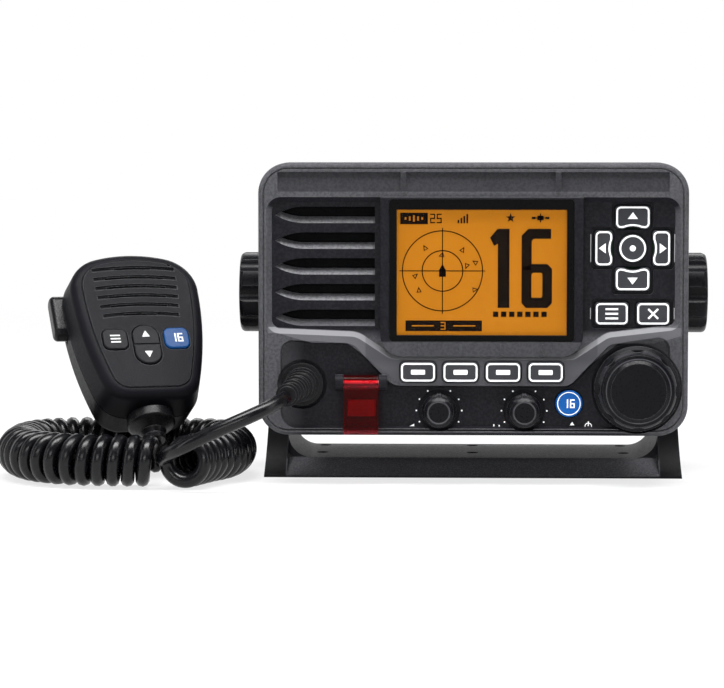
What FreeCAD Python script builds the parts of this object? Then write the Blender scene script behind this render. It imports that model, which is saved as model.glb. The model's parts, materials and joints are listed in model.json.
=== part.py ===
"""VHF marine radio: transceiver in a tilting bracket, with a handset on a curly cord.

Units are millimetres.  X is right, Y is back and Z is up.  The origin is the centre of the
bracket's screw pattern on the surface that the bracket stands on.
"""
import FreeCAD
import Part
import Sketcher
import math
import os
from FreeCAD import Placement, Rotation, Vector

# ---------------------------------------------------------------- driving dimensions
DIMENSIONS = {
    # where the panel sits in the bracket's frame
    "panel_front": -77.9,
    "panel_middle": 76.4,
    "pivot_depth": 58.0,
    # front bezel
    "panel_width": 176.0,
    "panel_height": 111.8,
    "panel_corner": 12.5,
    "bezel_depth": 18.0,
    "bezel_wall": 3.0,
    "front_wall": 6.0,
    "rim_round": 1.8,
    "rim_groove_inset": 1.9,
    "rim_groove_width": 0.7,
    "rim_groove_depth": 0.7,
    "brow_top": 52.2,
    "brow_bottom": 43.9,
    "brow_slope": 1.4,
    "brow_half_width": 80.0,
    "brow_rib_left": -28.5,
    "brow_rib_right": 34.8,
    "brow_rib_radius": 1.1,
    "brow_rib_proud": 0.3,
    "upper_recess": 2.6,
    "lower_recess": 1.8,
    "recess_half_width": 84.7,
    "recess_top": 42.0,
    "recess_corner": 6.0,
    "recess_flare": 40.0,
    "band_side": -8.0,
    "band_side_corner": 5.0,
    "band_left": -14.0,
    "band_right": -12.6,
    "band_shoulder": -15.2,
    "band_upper": -24.6,
    "band_upper_slope": 33.0,
    "band_upper_left": -50.5,
    "band_upper_left_foot": -30.8,
    "band_upper_right_foot": 39.6,
    "band_upper_right": 57.6,
    "band_thickness": 2.7,
    "band_lower": -35.3,
    "band_lower_slope": 46.0,
    "band_lower_left": -52.5,
    "band_lower_left_foot": -29.8,
    "band_lower_right_foot": 37.2,
    "band_lower_right": 58.6,
    "lower_left": -79.0,
    "lower_right": 80.6,
    "lower_margin": 2.9,
    "lower_corner": 7.0,
    "lower_flare": 25.0,
    # display
    "window_left": -34.3,
    "window_right": 41.4,
    "window_bottom": -17.3,
    "window_top": 41.0,
    "window_thickness": 1.6,
    "display_border": 3.6,
    "display_sill": 6.0,
    "display_proud": 0.5,
    "display_corner": 9.0,
    "sill_rib_first": -21.8,
    "sill_rib_pitch": 16.8,
    "sill_rib_width": 0.8,
    "sill_rib_proud": 0.4,
    "sill_rib_inset": 0.9,
    "window_corner": 1.5,
    "screen_left": -31.3,
    "screen_right": 38.4,
    "screen_bottom": -14.7,
    "screen_top": 36.8,
    # louvres
    "louvre_count": 5,
    "louvre_pitch": 10.56,
    "louvre_tip": -81.1,
    "louvre_end": -40.2,
    "louvre_top": 37.9,
    "louvre_height": 6.7,
    "louvre_tip_drop": 3.4,
    "louvre_nose": 12.0,
    "louvre_lip": 2.6,
    "louvre_lip_depth": 2.6,
    "louvre_lip_tip": 1.2,
    "mesh_thickness": 0.6,
    "mesh_margin": 2.0,
    "speaker_diameter": 42.0,
    "speaker_depth": 11.0,
    "magnet_diameter": 24.0,
    "magnet_depth": 4.6,
    "basket_rim": 1.6,
    "basket_ledge": 3.0,
    # keys
    "key_gap": 0.3,
    "key_proud": 1.4,
    "key_travel": 1.0,
    "key_flange": 0.9,
    "key_flange_thickness": 1.2,
    "key_edge": 0.7,
    "key_stem": 4.0,
    "board_front": 10.0,
    "board_thickness": 1.6,
    "board_margin": 1.5,
    "board_wing": 8.0,
    "softkey_width": 14.8,
    "softkey_height": 8.5,
    "softkey_first": -22.4,
    "softkey_pitch": 17.4,
    "softkey_count": 4,
    "softkey_row": -29.7,
    "softkey_corner": 2.0,
    "pad_across": 65.2,
    "pad_up": 21.0,
    "enter_diameter": 11.6,
    "arrow_width": 14.5,
    "arrow_height": 9.7,
    "arrow_side_width": 7.7,
    "arrow_side_height": 14.8,
    "arrow_reach": 12.7,
    "arrow_side_reach": 11.8,
    "arrow_corner": 1.6,
    "pad_clearance": 2.9,
    "pad_margin": 1.3,
    "pad_recess": 1.2,
    "menu_across": 56.8,
    "clear_across": 73.7,
    "menu_row": -5.8,
    "menu_width": 13.9,
    "menu_height": 9.6,
    "channel_key_across": 39.4,
    "channel_key_up": -42.6,
    "channel_key_diameter": 11.1,
    # rotary controls
    "volume_across": -13.8,
    "squelch_across": 21.1,
    "knob_up": -45.7,
    "knob_diameter": 14.1,
    "knob_cap_diameter": 10.8,
    "knob_height": 11.5,
    "knob_well": 16.8,
    "knob_well_depth": 0.8,
    "knob_flutes": 9,
    "knob_flute": 2.0,
    "knob_flute_bite": 0.76,
    "knob_skirt": 2.4,
    "knob_skirt_slope": 1.0,
    "knob_bevel": 0.6,
    "knob_crown": 2.0,
    "pointer_tip": 0.7,
    "pointer_foot": 1.4,
    "pointer_reach": 0.3,
    "pointer_crown": 1.2,
    "shaft_diameter": 6.0,
    "shaft_clearance": 0.05,
    "dial_across": 67.2,
    "dial_up": -36.4,
    "dial_skirt": 35.0,
    "dial_rim": 32.0,
    "dial_face": 23.6,
    "dial_height": 16.0,
    "dial_skirt_height": 3.0,
    "dial_travel": 1.0,
    "dial_flutes": 8,
    "dial_flute_radius": 6.0,
    "dial_flute_bite": 1.1,
    "dial_draft": 0.4,
    "dial_shoulder": 3.6,
    "dial_bevel": 1.4,
    "dial_land": 1.9,
    "dial_ring_drop": 1.2,
    "dial_ring_width": 0.8,
    "dial_edge": 0.5,
    "dial_crown": 4.0,
    "plunger_flange": 15.0,
    "dial_shaft_diameter": 7.0,
    "plunger_diameter": 12.0,
    "dial_well_gap": 0.9,
    "dial_well_depth": 1.2,
    # distress key
    "distress_across": -45.7,
    "cover_pin_up": -33.9,
    "cover_pin_diameter": 1.6,
    "cover_width": 14.2,
    "cover_bottom": -55.3,
    "cover_thickness": 1.6,
    "cover_roll": 5.6,
    "cover_stand": 3.2,
    "lug_width": 3.4,
    "lug_root": 1.0,
    "cover_bevel": 1.0,
    "cover_undercut": 0.6,
    "cover_side_gap": 0.15,
    "lug_diameter": 6.0,
    "distress_key_width": 11.0,
    "distress_key_height": 6.6,
    "distress_key_up": -44.8,
    # microphone cable entry
    "entry_across": -70.1,
    "entry_up": -35.0,
    "entry_well": 20.2,
    "entry_well_depth": 2.0,
    "entry_neck": 9.0,
    "relief_base": 17.4,
    "relief_tip": 9.4,
    "relief_length": 18.0,
    "relief_rings": 6,
    "relief_aside": -5.0,
    "relief_drop": 3.0,
    "relief_lock": 2.0,
    "relief_lock_diameter": 12.0,
    "relief_root": 1.0,
    "relief_first": 13.9,
    "relief_curl": 1.6,
    "relief_ring": 1.8,
    "relief_groove": 2.0,
    "relief_ring_start": 0.4,
    "cord_diameter": 5.8,
    "coil_diameter": 22.0,
    # chassis
    "gasket_thickness": 0.6,
    "gasket_width": 2.6,
    "flange_inset": 1.2,
    "chassis_half_width": 74.0,
    "chassis_top": 46.0,
    "chassis_bottom": -48.0,
    "chassis_corner": 6.0,
    "chassis_back": 118.0,
    "chassis_wall": 4.0,
    "chassis_cavity_back": 98.0,
    "chassis_flange": 3.5,
    "fin_depth": 14.0,
    "fin_gap": 3.6,
    "fin_pitch": 7.2,
    "fin_count": 17,
    "fin_foot": -8.0,
    "fin_floor": 1.6,
    "top_fin_start": 8.0,
    "cavity_corner": 4.0,
    "board_rest": 50.0,
    "board_rest_width": 4.0,
    "board_rise": 3.0,
    "board_start": 6.0,
    "main_board_length": 50.0,
    "socket_row": -28.0,
    "socket_neck": 9.0,
    "socket_depth": 8.0,
    "socket_flange": 1.6,
    "socket_corner": 1.5,
    "socket_floor": 2.0,
    "aerial_across": -48.0,
    "aerial_flange": 18.0,
    "aerial_diameter": 15.8,
    "aerial_length": 12.0,
    "power_across": 4.0,
    "data_across": 44.0,
    "gland_flange": 17.0,
    "gland_diameter": 12.0,
    "gland_length": 9.0,
    "aerial_bore": 4.2,
    "gland_bore": 6.0,
    "pivot_pad_diameter": 26.0,
    "pivot_pad_height": 1.6,
    "screw_across": 79.0,
    "screw_up": 46.5,
    "screw_diameter": 3.0,
    "screw_head": 5.6,
    "screw_head_height": 2.2,
    "screw_length": 10.0,
    "boss_diameter": 7.0,
    # bracket
    "bracket_inside": 78.0,
    "bracket_plate": 3.0,
    "bracket_flange": 5.3,
    "bracket_web_top": 7.0,
    "bracket_bend": 10.0,
    "bracket_front": -35.9,
    "bracket_back": 21.4,
    "bracket_foot_front": -50.5,
    "bracket_foot_back": 30.0,
    "bracket_foot_half_width": 87.6,
    "bracket_foot_edge": 1.0,
    "bracket_heel_half_width": 85.0,
    "bracket_sweep_top": 26.0,
    "flange_top": 52.0,
    "hole_diameter": 5.2,
    "hole_spacing_across": 129.2,
    "hole_spacing_deep": 30.0,
    "hole_boss": 11.0,
    # side knobs
    "side_knob_diameter": 34.2,
    "side_knob_outer": 99.0,
    "side_knob_lobes": 8,
    "side_knob_bite": 1.6,
    "side_knob_flute": 5.0,
    "side_knob_round": 2.2,
    "side_knob_cap": 20.0,
    "side_knob_dish": 0.8,
    "side_knob_crown": 4.0,
    "stud_diameter": 8.0,
    "stud_reach": 66.0,
    "washer_diameter": 24.0,
    "washer_bore": 8.6,
    "face_gap": 0.1,
    "overcut": 1.0,
    "bracket_hole_clearance": 0.3,
    # handset
    "handset_across": -132.0,
    "handset_deep": -66.0,
    "handset_up": 16.5,
    "handset_yaw": 20.0,
    "handset_lean": 38.0,
    "handset_length": 88.0,
    "handset_width": 58.0,
    "handset_foot": 12.0,
    "handset_foot_width": 38.0,
    "handset_foot_round": 13.0,
    "handset_shoulder": 18.0,
    "handset_crown": 60.0,
    "handset_front_depth": 14.0,
    "handset_rear_depth": 17.0,
    "handset_draft": 7.0,
    "handset_wall": 2.4,
    "handset_front_round": 4.0,
    "handset_rear_round": 6.0,
    "handset_gasket_thickness": 0.6,
    "face_plate_inset": 5.6,
    "face_plate_depth": 1.2,
    "face_plate_gap": 0.2,
    "face_plate_proud": 0.6,
    "face_plate_chamfer": 0.4,
    "gasket_inset": 0.4,
    "handset_sound_up": 66.0,
    "handset_speaker_diameter": 34.0,
    "handset_speaker_rim": 3.0,
    "handset_speaker_depth": 7.0,
    "slot_count": 6,
    "slot_top": 76.0,
    "slot_pitch": 4.7,
    "slot_length": 36.0,
    "slot_narrowing": 3.0,
    "slot_height": 1.9,
    "slot_bow": 1.2,
    "slot_depth": 1.0,
    "slot_margin": 0.3,
    "slot_share": 0.72,
    "slot_end_share": 0.44,
    "microphone_across": 16.0,
    "microphone_up": 79.6,
    "microphone_hole": 1.8,
    "handset_key_row": 41.5,
    "handset_key_side": 13.2,
    "handset_key_width": 10.8,
    "handset_key_height": 10.4,
    "handset_key_corner": 3.0,
    "handset_key_proud": 1.4,
    "handset_key_travel": 0.8,
    "handset_board_front": -6.0,
    "board_post_across": 9.0,
    "board_post_up": 31.5,
    "board_post_diameter": 3.0,
    "rocker_row": 38.6,
    "rocker_width": 11.6,
    "rocker_height": 19.6,
    "rocker_corner": 5.6,
    "rocker_gap": 0.4,
    "rocker_split": 0.8,
    "rocker_split_depth": 0.6,
    "handset_board_margin": 4.0,
    "talk_up": 66.0,
    "talk_height": 21.0,
    "talk_deep": 5.2,
    "talk_thickness": 8.0,
    "talk_proud": 4.6,
    "talk_corner": 3.5,
    "talk_round": 2.0,
    "talk_travel": 2.0,
    "hang_up": 32.0,
    "hang_neck": 7.0,
    "hang_head": 14.0,
    "hang_head_height": 4.0,
    "hang_stand": 11.6,
    "hang_chamfer": 1.0,
    "handset_screw_top": 74.0,
    "handset_screw_top_across": 17.0,
    "handset_screw_foot": 24.0,
    "handset_screw_floor": 1.0,
    "handset_screw_foot_across": 10.0,
    "boot_neck": 8.0,
    "boot_collar": 20.0,
    "boot_tip": 9.0,
    "boot_ring": 2.0,
    "boot_ring_proud": 0.5,
    "boot_step": 0.4,
    "boot_waist": 2.4,
    "boot_waist_proud": 1.2,
    "boot_shoulder": 7.2,
    "boot_chamfer": 0.8,
}

DOC = FreeCAD.newDocument("vhf_marine_radio")
SHEET = DOC.addObject("Spreadsheet::Sheet", "dims")
for row, (alias, number) in enumerate(DIMENSIONS.items(), start=1):
    SHEET.set(f"A{row}", alias)
    SHEET.set(f"B{row}", str(number))
    SHEET.setAlias(f"B{row}", alias)
DOC.recompute()


class Size:
    """A length that knows its number and the spreadsheet expression that it comes from."""

    def __init__(self, value, text):
        self.value = float(value)
        self.text = text

    @staticmethod
    def of(other):
        if isinstance(other, Size):
            return other
        return Size(other, repr(float(other)))

    def join(self, other, sign, value):
        return Size(value, f"({self.text} {sign} {Size.of(other).text})")

    def __add__(self, other):
        return self.join(other, "+", self.value + Size.of(other).value)

    def __sub__(self, other):
        return self.join(other, "-", self.value - Size.of(other).value)

    def __mul__(self, other):
        return self.join(other, "*", self.value * Size.of(other).value)

    def __truediv__(self, other):
        return self.join(other, "/", self.value / Size.of(other).value)

    def __radd__(self, other):
        return Size.of(other) + self

    def __rmul__(self, other):
        return Size.of(other) * self

    def __neg__(self):
        return Size(-self.value, f"(0 - {self.text})")

    def __float__(self):
        return self.value


class Sheet:
    """Reads a cell by its alias."""

    def __getattr__(self, alias):
        return Size(SHEET.get(alias), f"dims.{alias}")


d = Sheet()


# ---------------------------------------------------------------- modelling helpers
NORMAL = {"XY": 1, "XZ": -1, "YZ": 1}
PARTS = []


def bind(item, path, size):
    """Tie one property of a document object to the spreadsheet."""
    item.setExpression(path, Size.of(size).text)


def origin_feature(body, role):
    """One of a body's own origin planes or axes."""
    return next(item for item in body.Origin.OriginFeatures if item.Role == role)


def new_body(label, place=(0, 0, 0)):
    """An empty sub-part whose own origin stands at place."""
    body = DOC.addObject("PartDesign::Body", label)
    body.Label = label
    for axis, size in zip("xyz", place):
        bind(body, f"Placement.Base.{axis}", size)
    PARTS.append(body)
    return body


class Drawing:
    """A sketch on one of a body's own origin planes, moved off it to the coordinate at."""

    def __init__(self, body, plane, at=0):
        self.body = body
        self.plane = plane
        self.sketch = body.newObject("Sketcher::SketchObject", "Sketch")
        self.sketch.AttachmentSupport = [(origin_feature(body, f"{plane}_Plane"), "")]
        self.sketch.MapMode = "FlatFace"
        bind(self.sketch, "AttachmentOffset.Base.z", Size.of(at) * NORMAL[plane])

    def measure(self, kind, *where, size):
        size = Size.of(size)
        number = self.sketch.addConstraint(Sketcher.Constraint(kind, *where, size.value))
        self.sketch.setExpression(f"Constraints[{number}]", size.text)

    def place(self, geometry, end, point):
        """Fix one point of the geometry: 1 is its start, 2 its end, 3 its centre."""
        self.measure("DistanceX", geometry, end, size=point[0])
        self.measure("DistanceY", geometry, end, size=point[1])

    def circle(self, centre, diameter):
        middle = Vector(float(centre[0]), float(centre[1]), 0)
        shape = Part.Circle(middle, Vector(0, 0, 1), float(diameter) / 2)
        number = self.sketch.addGeometry(shape)
        self.place(number, 3, centre)
        self.measure("Diameter", number, size=diameter)
        return self

    def outline(self, *steps):
        """A closed line through the steps.  A step is a point, or (via, point) for an arc, or
        (via, point, radius) for an arc whose radius is a driving size."""
        corners = [step if len(step) == 2 and not isinstance(step[0], tuple) else step[1]
                   for step in steps]
        spots = [Vector(float(x), float(y), 0) for x, y in corners]
        ends = []
        for index, step in enumerate(steps):
            start, end = spots[index - 1], spots[index]
            backwards = False
            if step is corners[index]:
                shape = Part.LineSegment(start, end)
            else:
                via = Vector(float(step[0][0]), float(step[0][1]), 0)
                backwards = (via - start).cross(end - via).z < 0
                shape = Part.ArcOfCircle(*((end, via, start) if backwards else (start, via, end)))
            number = self.sketch.addGeometry(shape)
            ends.append((number, 2, 1) if backwards else (number, 1, 2))
        for index, (number, first, last) in enumerate(ends):
            following, its_first = ends[(index + 1) % len(ends)][:2]
            joint = Sketcher.Constraint("Coincident", number, last, following, its_first)
            self.sketch.addConstraint(joint)
            self.place(number, last, corners[index])
            if len(steps[index]) == 3:
                self.measure("Radius", number, size=steps[index][2])
        return self

    def box(self, left, bottom, right, top, corner=None):
        """An upright rectangle, with rounded corners where a radius is given."""
        left, bottom, right, top = (Size.of(side) for side in (left, bottom, right, top))
        if corner is None:
            return self.outline((left, bottom), (right, bottom), (right, top), (left, top))
        corner = Size.of(corner)
        inset = corner * (1 - math.sqrt(0.5))
        return self.outline(
            (right - corner, bottom),
            ((right - inset, bottom + inset), (right, bottom + corner), corner),
            (right, top - corner),
            ((right - inset, top - inset), (right - corner, top), corner),
            (left + corner, top),
            ((left + inset, top - inset), (left, top - corner), corner),
            (left, bottom + corner),
            ((left + inset, bottom + inset), (left + corner, bottom), corner))


def centred(drawing, middle, width, height, corner=None):
    """A rectangle about a middle point."""
    across, up = (Size.of(value) for value in middle)
    half_width = Size.of(width) / 2
    half_height = Size.of(height) / 2
    return drawing.box(across - half_width, up - half_height,
                       across + half_width, up + half_height, corner)


def finish_feature(body, feature):
    body.Tip = feature
    return feature


def pad(drawing, length, towards=1, both=False, taper=0):
    """Material from the sketch towards the plus or minus side of its axis, or both ways."""
    feature = drawing.body.newObject("PartDesign::Pad", "Pad")
    feature.Profile = drawing.sketch
    bind(feature, "Length", length)
    feature.Reversed = towards != NORMAL[drawing.plane]
    feature.TaperAngle = taper
    feature.Refine = False
    if both:
        feature.SideType = "Symmetric"
    return finish_feature(drawing.body, feature)


def pocket(drawing, length, towards=1, both=False, taper=0):
    """A cut from the sketch towards the plus or minus side of its axis, or both ways."""
    feature = drawing.body.newObject("PartDesign::Pocket", "Pocket")
    feature.Profile = drawing.sketch
    bind(feature, "Length", length)
    feature.Reversed = towards == NORMAL[drawing.plane]
    feature.TaperAngle = taper
    feature.Refine = False
    if both:
        feature.SideType = "Symmetric"
    return finish_feature(drawing.body, feature)


def turn(drawing, axis="V_Axis"):
    """A full revolution of the sketch about its own vertical or horizontal axis."""
    feature = drawing.body.newObject("PartDesign::Revolution", "Revolution")
    feature.Profile = drawing.sketch
    feature.ReferenceAxis = (drawing.sketch, [axis])
    return finish_feature(drawing.body, feature)


def repeat_along(body, features, role, pitch, count):
    """Copies of features at one pitch along an origin axis."""
    pattern = body.newObject("PartDesign::LinearPattern", "LinearPattern")
    pattern.Originals = features
    pattern.Direction = (origin_feature(body, role), [""])
    pattern.Reversed = float(pitch) < 0
    span = Size.of(pitch) * (Size.of(count) - 1)
    bind(pattern, "Length", -span if float(pitch) < 0 else span)
    bind(pattern, "Occurrences", count)
    return finish_feature(body, pattern)


def repeat_round(body, features, role, count):
    """Copies of features all round an origin axis."""
    pattern = body.newObject("PartDesign::PolarPattern", "PolarPattern")
    pattern.Originals = features
    pattern.Axis = (origin_feature(body, role), [""])
    pattern.Angle = 360
    bind(pattern, "Occurrences", count)
    return finish_feature(body, pattern)


def dress(body, kind, size, choose):
    """A fillet or chamfer on the edges that choose picks."""
    DOC.recompute()
    base = body.Tip
    names = [f"Edge{number}" for number, edge in enumerate(base.Shape.Edges, start=1)
             if choose(edge)]
    feature = body.newObject(f"PartDesign::{kind}", kind)
    feature.Base = (base, names)
    bind(feature, "Radius" if kind == "Fillet" else "Size", size)
    return finish_feature(body, feature)


def at_depth(depth):
    """Picks edges that lie wholly in the plane y = depth."""
    def choose(edge):
        box = edge.BoundBox
        return abs(box.YMin - float(depth)) < 1e-4 and abs(box.YMax - float(depth)) < 1e-4
    return choose


def loft(drawings, cut=False):
    """Material, or a cut, that blends from one drawing to the next."""
    body = drawings[0].body
    feature = body.newObject(f"PartDesign::{'Subtractive' if cut else 'Additive'}Loft", "Loft")
    feature.Profile = drawings[0].sketch
    feature.Sections = [drawing.sketch for drawing in drawings[1:]]
    feature.Ruled = True
    return finish_feature(body, feature)


# ---------------------------------------------------------------- transceiver: front housing
PANEL = (0, d.panel_front, d.panel_middle)
ARC_SHARE = 2 * (1 - math.sqrt(0.5))
KEY_STEM_END = d.board_front - d.key_travel - d.key_gap


def softkey_places():
    return [(d.softkey_first + d.softkey_pitch * number, d.softkey_row)
            for number in range(int(float(d.softkey_count)))]


def arrow_places():
    """Name, middle and size of the four arrow keys round the enter key."""
    tall = (d.arrow_side_width, d.arrow_side_height)
    wide = (d.arrow_width, d.arrow_height)
    return {
        "up_key": ((d.pad_across, d.pad_up + d.arrow_reach), wide),
        "down_key": ((d.pad_across, d.pad_up - d.arrow_reach), wide),
        "left_key": ((d.pad_across - d.arrow_side_reach, d.pad_up), tall),
        "right_key": ((d.pad_across + d.arrow_side_reach, d.pad_up), tall),
    }


def louvre(drawing, lip, tip_shift):
    """A slot with a square right end and an ogive tip, its lower edge raised by lip."""
    top = d.louvre_top
    bottom = top - d.louvre_height + lip
    tip = (d.louvre_tip + tip_shift * 2, top - d.louvre_tip_drop + tip_shift)
    knee = d.louvre_tip + d.louvre_nose
    across = knee - tip[0]

    def nose(edge):
        """The point half way round the arc that leaves the edge level and ends at the tip."""
        drop = float(edge - tip[1])
        radius = (float(across) ** 2 + drop ** 2) / (2 * drop)
        half = math.asin(float(across) / abs(radius)) / 2
        return (knee - abs(radius) * math.sin(half), edge - radius * (1 - math.cos(half)))

    return drawing.outline((d.louvre_end, top), (knee, top), (nose(top), tip),
                           (nose(bottom), (knee, bottom)), (d.louvre_end, bottom))


def cut_rim_and_brow(body):
    groove = Drawing(body, "XZ")
    for inset in (d.rim_groove_inset, d.rim_groove_inset + d.rim_groove_width):
        centred(groove, (0, 0), d.panel_width - inset * 2, d.panel_height - inset * 2,
                d.panel_corner - inset)
    pocket(groove, d.rim_groove_depth)
    brow = Drawing(body, "YZ")
    brow.outline((0, d.brow_bottom), (d.brow_slope, d.brow_top), (0, d.brow_top))
    pocket(brow, d.brow_half_width * 2, both=True)
    ribs = Drawing(body, "XZ", d.brow_slope)
    for across in (d.brow_rib_left, d.brow_rib_right):
        ribs.box(across - d.brow_rib_radius, d.brow_bottom,
                 across + d.brow_rib_radius, d.brow_top)
    pad(ribs, d.brow_slope + d.brow_rib_proud, towards=-1)


def swoop(start, end, slope):
    """Steps from start to end, both level there: an arc, a straight run at slope, an arc."""
    across = end[0] - start[0]
    rise = end[1] - start[1]
    right = math.copysign(1, float(across))
    up = math.copysign(1, float(rise))
    angle = math.radians(float(slope))
    radius = ((across * right) * math.sin(angle) - (rise * up) * math.cos(angle)) \
        / (2 * (1 - math.cos(angle)))

    def turned(share):
        return (radius * math.sin(angle * share) * right,
                radius * (1 - math.cos(angle * share)) * up)

    half, full = turned(0.5), turned(1)
    return [((start[0] + half[0], start[1] + half[1]), (start[0] + full[0], start[1] + full[1])),
            (end[0] - full[0], end[1] - full[1]),
            ((end[0] - half[0], end[1] - half[1]), end)]


def bend(start, via_share, corner, end):
    """One step: an arc from start round a corner to end, passing near the corner."""
    via = tuple((a + b) * (via_share / 2) + c * (1 - via_share)
                for a, b, c in zip(start, end, corner))
    return (via, end)


def cut_recesses(body):
    """The dark upper face, and the lower face below the raised band, with sloped walls."""
    side = d.recess_half_width
    top = d.recess_top
    corner = d.recess_corner
    turn_in = d.band_side_corner
    upper = Drawing(body, "XZ")
    upper_left = (d.band_upper_left, d.band_shoulder)
    upper_left_foot = (d.band_upper_left_foot, d.band_upper)
    upper_right_foot = (d.band_upper_right_foot, d.band_upper)
    upper_right = (d.band_upper_right, d.band_shoulder)
    upper.outline(
        (-side, d.band_side),
        bend((-side, d.band_side), ARC_SHARE, (-side, d.band_left), (-side + turn_in, d.band_left)),
        upper_left, *swoop(upper_left, upper_left_foot, d.band_upper_slope),
        upper_right_foot, *swoop(upper_right_foot, upper_right, d.band_upper_slope),
        (side - turn_in, d.band_right),
        bend((side - turn_in, d.band_right), ARC_SHARE, (side, d.band_right), (side, d.band_side)),
        (side, top - corner),
        bend((side, top - corner), ARC_SHARE, (side, top), (side - corner, top)),
        (-side + corner, top),
        bend((-side + corner, top), ARC_SHARE, (-side, top), (-side, top - corner)))
    pocket(upper, d.upper_recess, taper=-float(d.recess_flare))
    lower = Drawing(body, "XZ")
    bottom = -d.panel_height / 2 + d.lower_margin
    corner = d.lower_corner
    left = d.lower_left
    right = d.lower_right
    lower_left = (d.band_lower_left, d.band_shoulder - d.band_thickness)
    lower_left_foot = (d.band_lower_left_foot, d.band_lower)
    lower_right_foot = (d.band_lower_right_foot, d.band_lower)
    lower_right = (d.band_lower_right, d.band_shoulder - d.band_thickness)
    left_shoulder = d.band_left - d.band_thickness
    right_shoulder = d.band_right - d.band_thickness
    lower.outline(
        (right - corner, bottom),
        bend((right - corner, bottom), ARC_SHARE, (right, bottom), (right, bottom + corner)),
        (right, right_shoulder - turn_in),
        bend((right, right_shoulder - turn_in), ARC_SHARE, (right, right_shoulder),
             (right - turn_in, right_shoulder)),
        lower_right, *swoop(lower_right, lower_right_foot, d.band_lower_slope),
        lower_left_foot, *swoop(lower_left_foot, lower_left, d.band_lower_slope),
        (left + turn_in, left_shoulder),
        bend((left + turn_in, left_shoulder), ARC_SHARE, (left, left_shoulder),
             (left, left_shoulder - turn_in)),
        (left, bottom + corner),
        bend((left, bottom + corner), ARC_SHARE, (left, bottom), (left + corner, bottom)))
    pocket(lower, d.lower_recess, taper=-float(d.lower_flare))


def add_display_frame(body):
    left = d.window_left - d.display_border
    right = d.window_right + d.display_border
    bottom = d.window_bottom - d.display_sill
    corner = d.display_corner
    inset = corner * (1 - math.sqrt(0.5))
    frame = Drawing(body, "XZ", d.upper_recess)
    frame.outline(
        (right - corner, bottom),
        ((right - inset, bottom + inset), (right, bottom + corner), corner),
        (right, d.recess_top), (left, d.recess_top), (left, bottom + corner),
        ((left + inset, bottom + inset), (left + corner, bottom), corner))
    pad(frame, d.upper_recess + d.display_proud, towards=-1)
    seat = Drawing(body, "XZ", -d.display_proud)
    seat.box(d.window_left, d.window_bottom, d.window_right, d.window_top, d.window_corner)
    pocket(seat, d.window_thickness)
    opening = Drawing(body, "XZ", -d.display_proud)
    opening.box(d.screen_left, d.screen_bottom, d.screen_right, d.screen_top)
    pocket(opening, d.front_wall * 2)
    rib = Drawing(body, "XZ", -d.display_proud)
    rib.box(d.sill_rib_first - d.sill_rib_width / 2, bottom + d.sill_rib_inset,
            d.sill_rib_first + d.sill_rib_width / 2, d.window_bottom - d.sill_rib_inset)
    first = pad(rib, d.sill_rib_proud, towards=-1)
    repeat_along(body, [first], "X_Axis", d.sill_rib_pitch, d.softkey_count)


def cut_louvres(body):
    face = Drawing(body, "XZ", d.upper_recess)
    louvre(face, Size.of(0), Size.of(0))
    throat = Drawing(body, "XZ", d.upper_recess + d.louvre_lip_depth)
    louvre(throat, d.louvre_lip, d.louvre_lip_tip)
    lip = loft([face, throat], cut=True)
    slot = Drawing(body, "XZ", d.upper_recess + d.louvre_lip_depth)
    louvre(slot, d.louvre_lip, d.louvre_lip_tip)
    through = pocket(slot, d.front_wall)
    repeat_along(body, [lip, through], "Z_Axis", -d.louvre_pitch, d.louvre_count)


def cut_key_openings(body):
    gap = d.key_gap * 2
    reach = d.pad_margin
    for width, height in ((d.arrow_width, d.arrow_reach * 2 + d.arrow_height),
                          (d.arrow_side_reach * 2 + d.arrow_side_width, d.arrow_side_height)):
        cross = Drawing(body, "XZ", d.upper_recess)
        centred(cross, (d.pad_across, d.pad_up), width + reach * 2, height + reach * 2,
                d.arrow_corner)
        pocket(cross, d.pad_recess)
    tray = Drawing(body, "XZ", d.upper_recess)
    middle = (d.menu_across + d.clear_across) / 2
    centred(tray, (middle, d.menu_row), d.clear_across - d.menu_across + d.menu_width + reach * 2,
            d.menu_height + reach * 2, d.arrow_corner)
    pocket(tray, d.pad_recess)
    corner = d.arrow_corner + d.key_gap
    openings = [(middle, width, height) for middle, (width, height) in arrow_places().values()]
    openings += [((across, d.menu_row), d.menu_width, d.menu_height)
                 for across in (d.menu_across, d.clear_across)]
    for middle, width, height in openings:
        hole = Drawing(body, "XZ")
        centred(hole, middle, width + gap, height + gap, corner)
        pocket(hole, d.front_wall * 2)
    softkey = Drawing(body, "XZ")
    centred(softkey, softkey_places()[0], d.softkey_width + gap, d.softkey_height + gap,
            d.softkey_corner + d.key_gap)
    first = pocket(softkey, d.front_wall * 2)
    repeat_along(body, [first], "X_Axis", d.softkey_pitch, d.softkey_count)
    holes = Drawing(body, "XZ")
    holes.circle((d.pad_across, d.pad_up), d.enter_diameter + gap)
    holes.circle((d.channel_key_across, d.channel_key_up), d.channel_key_diameter + gap)
    centred(holes, (d.distress_across, d.distress_key_up), d.distress_key_width + gap,
            d.distress_key_height + gap)
    pocket(holes, d.front_wall * 2)


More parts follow.
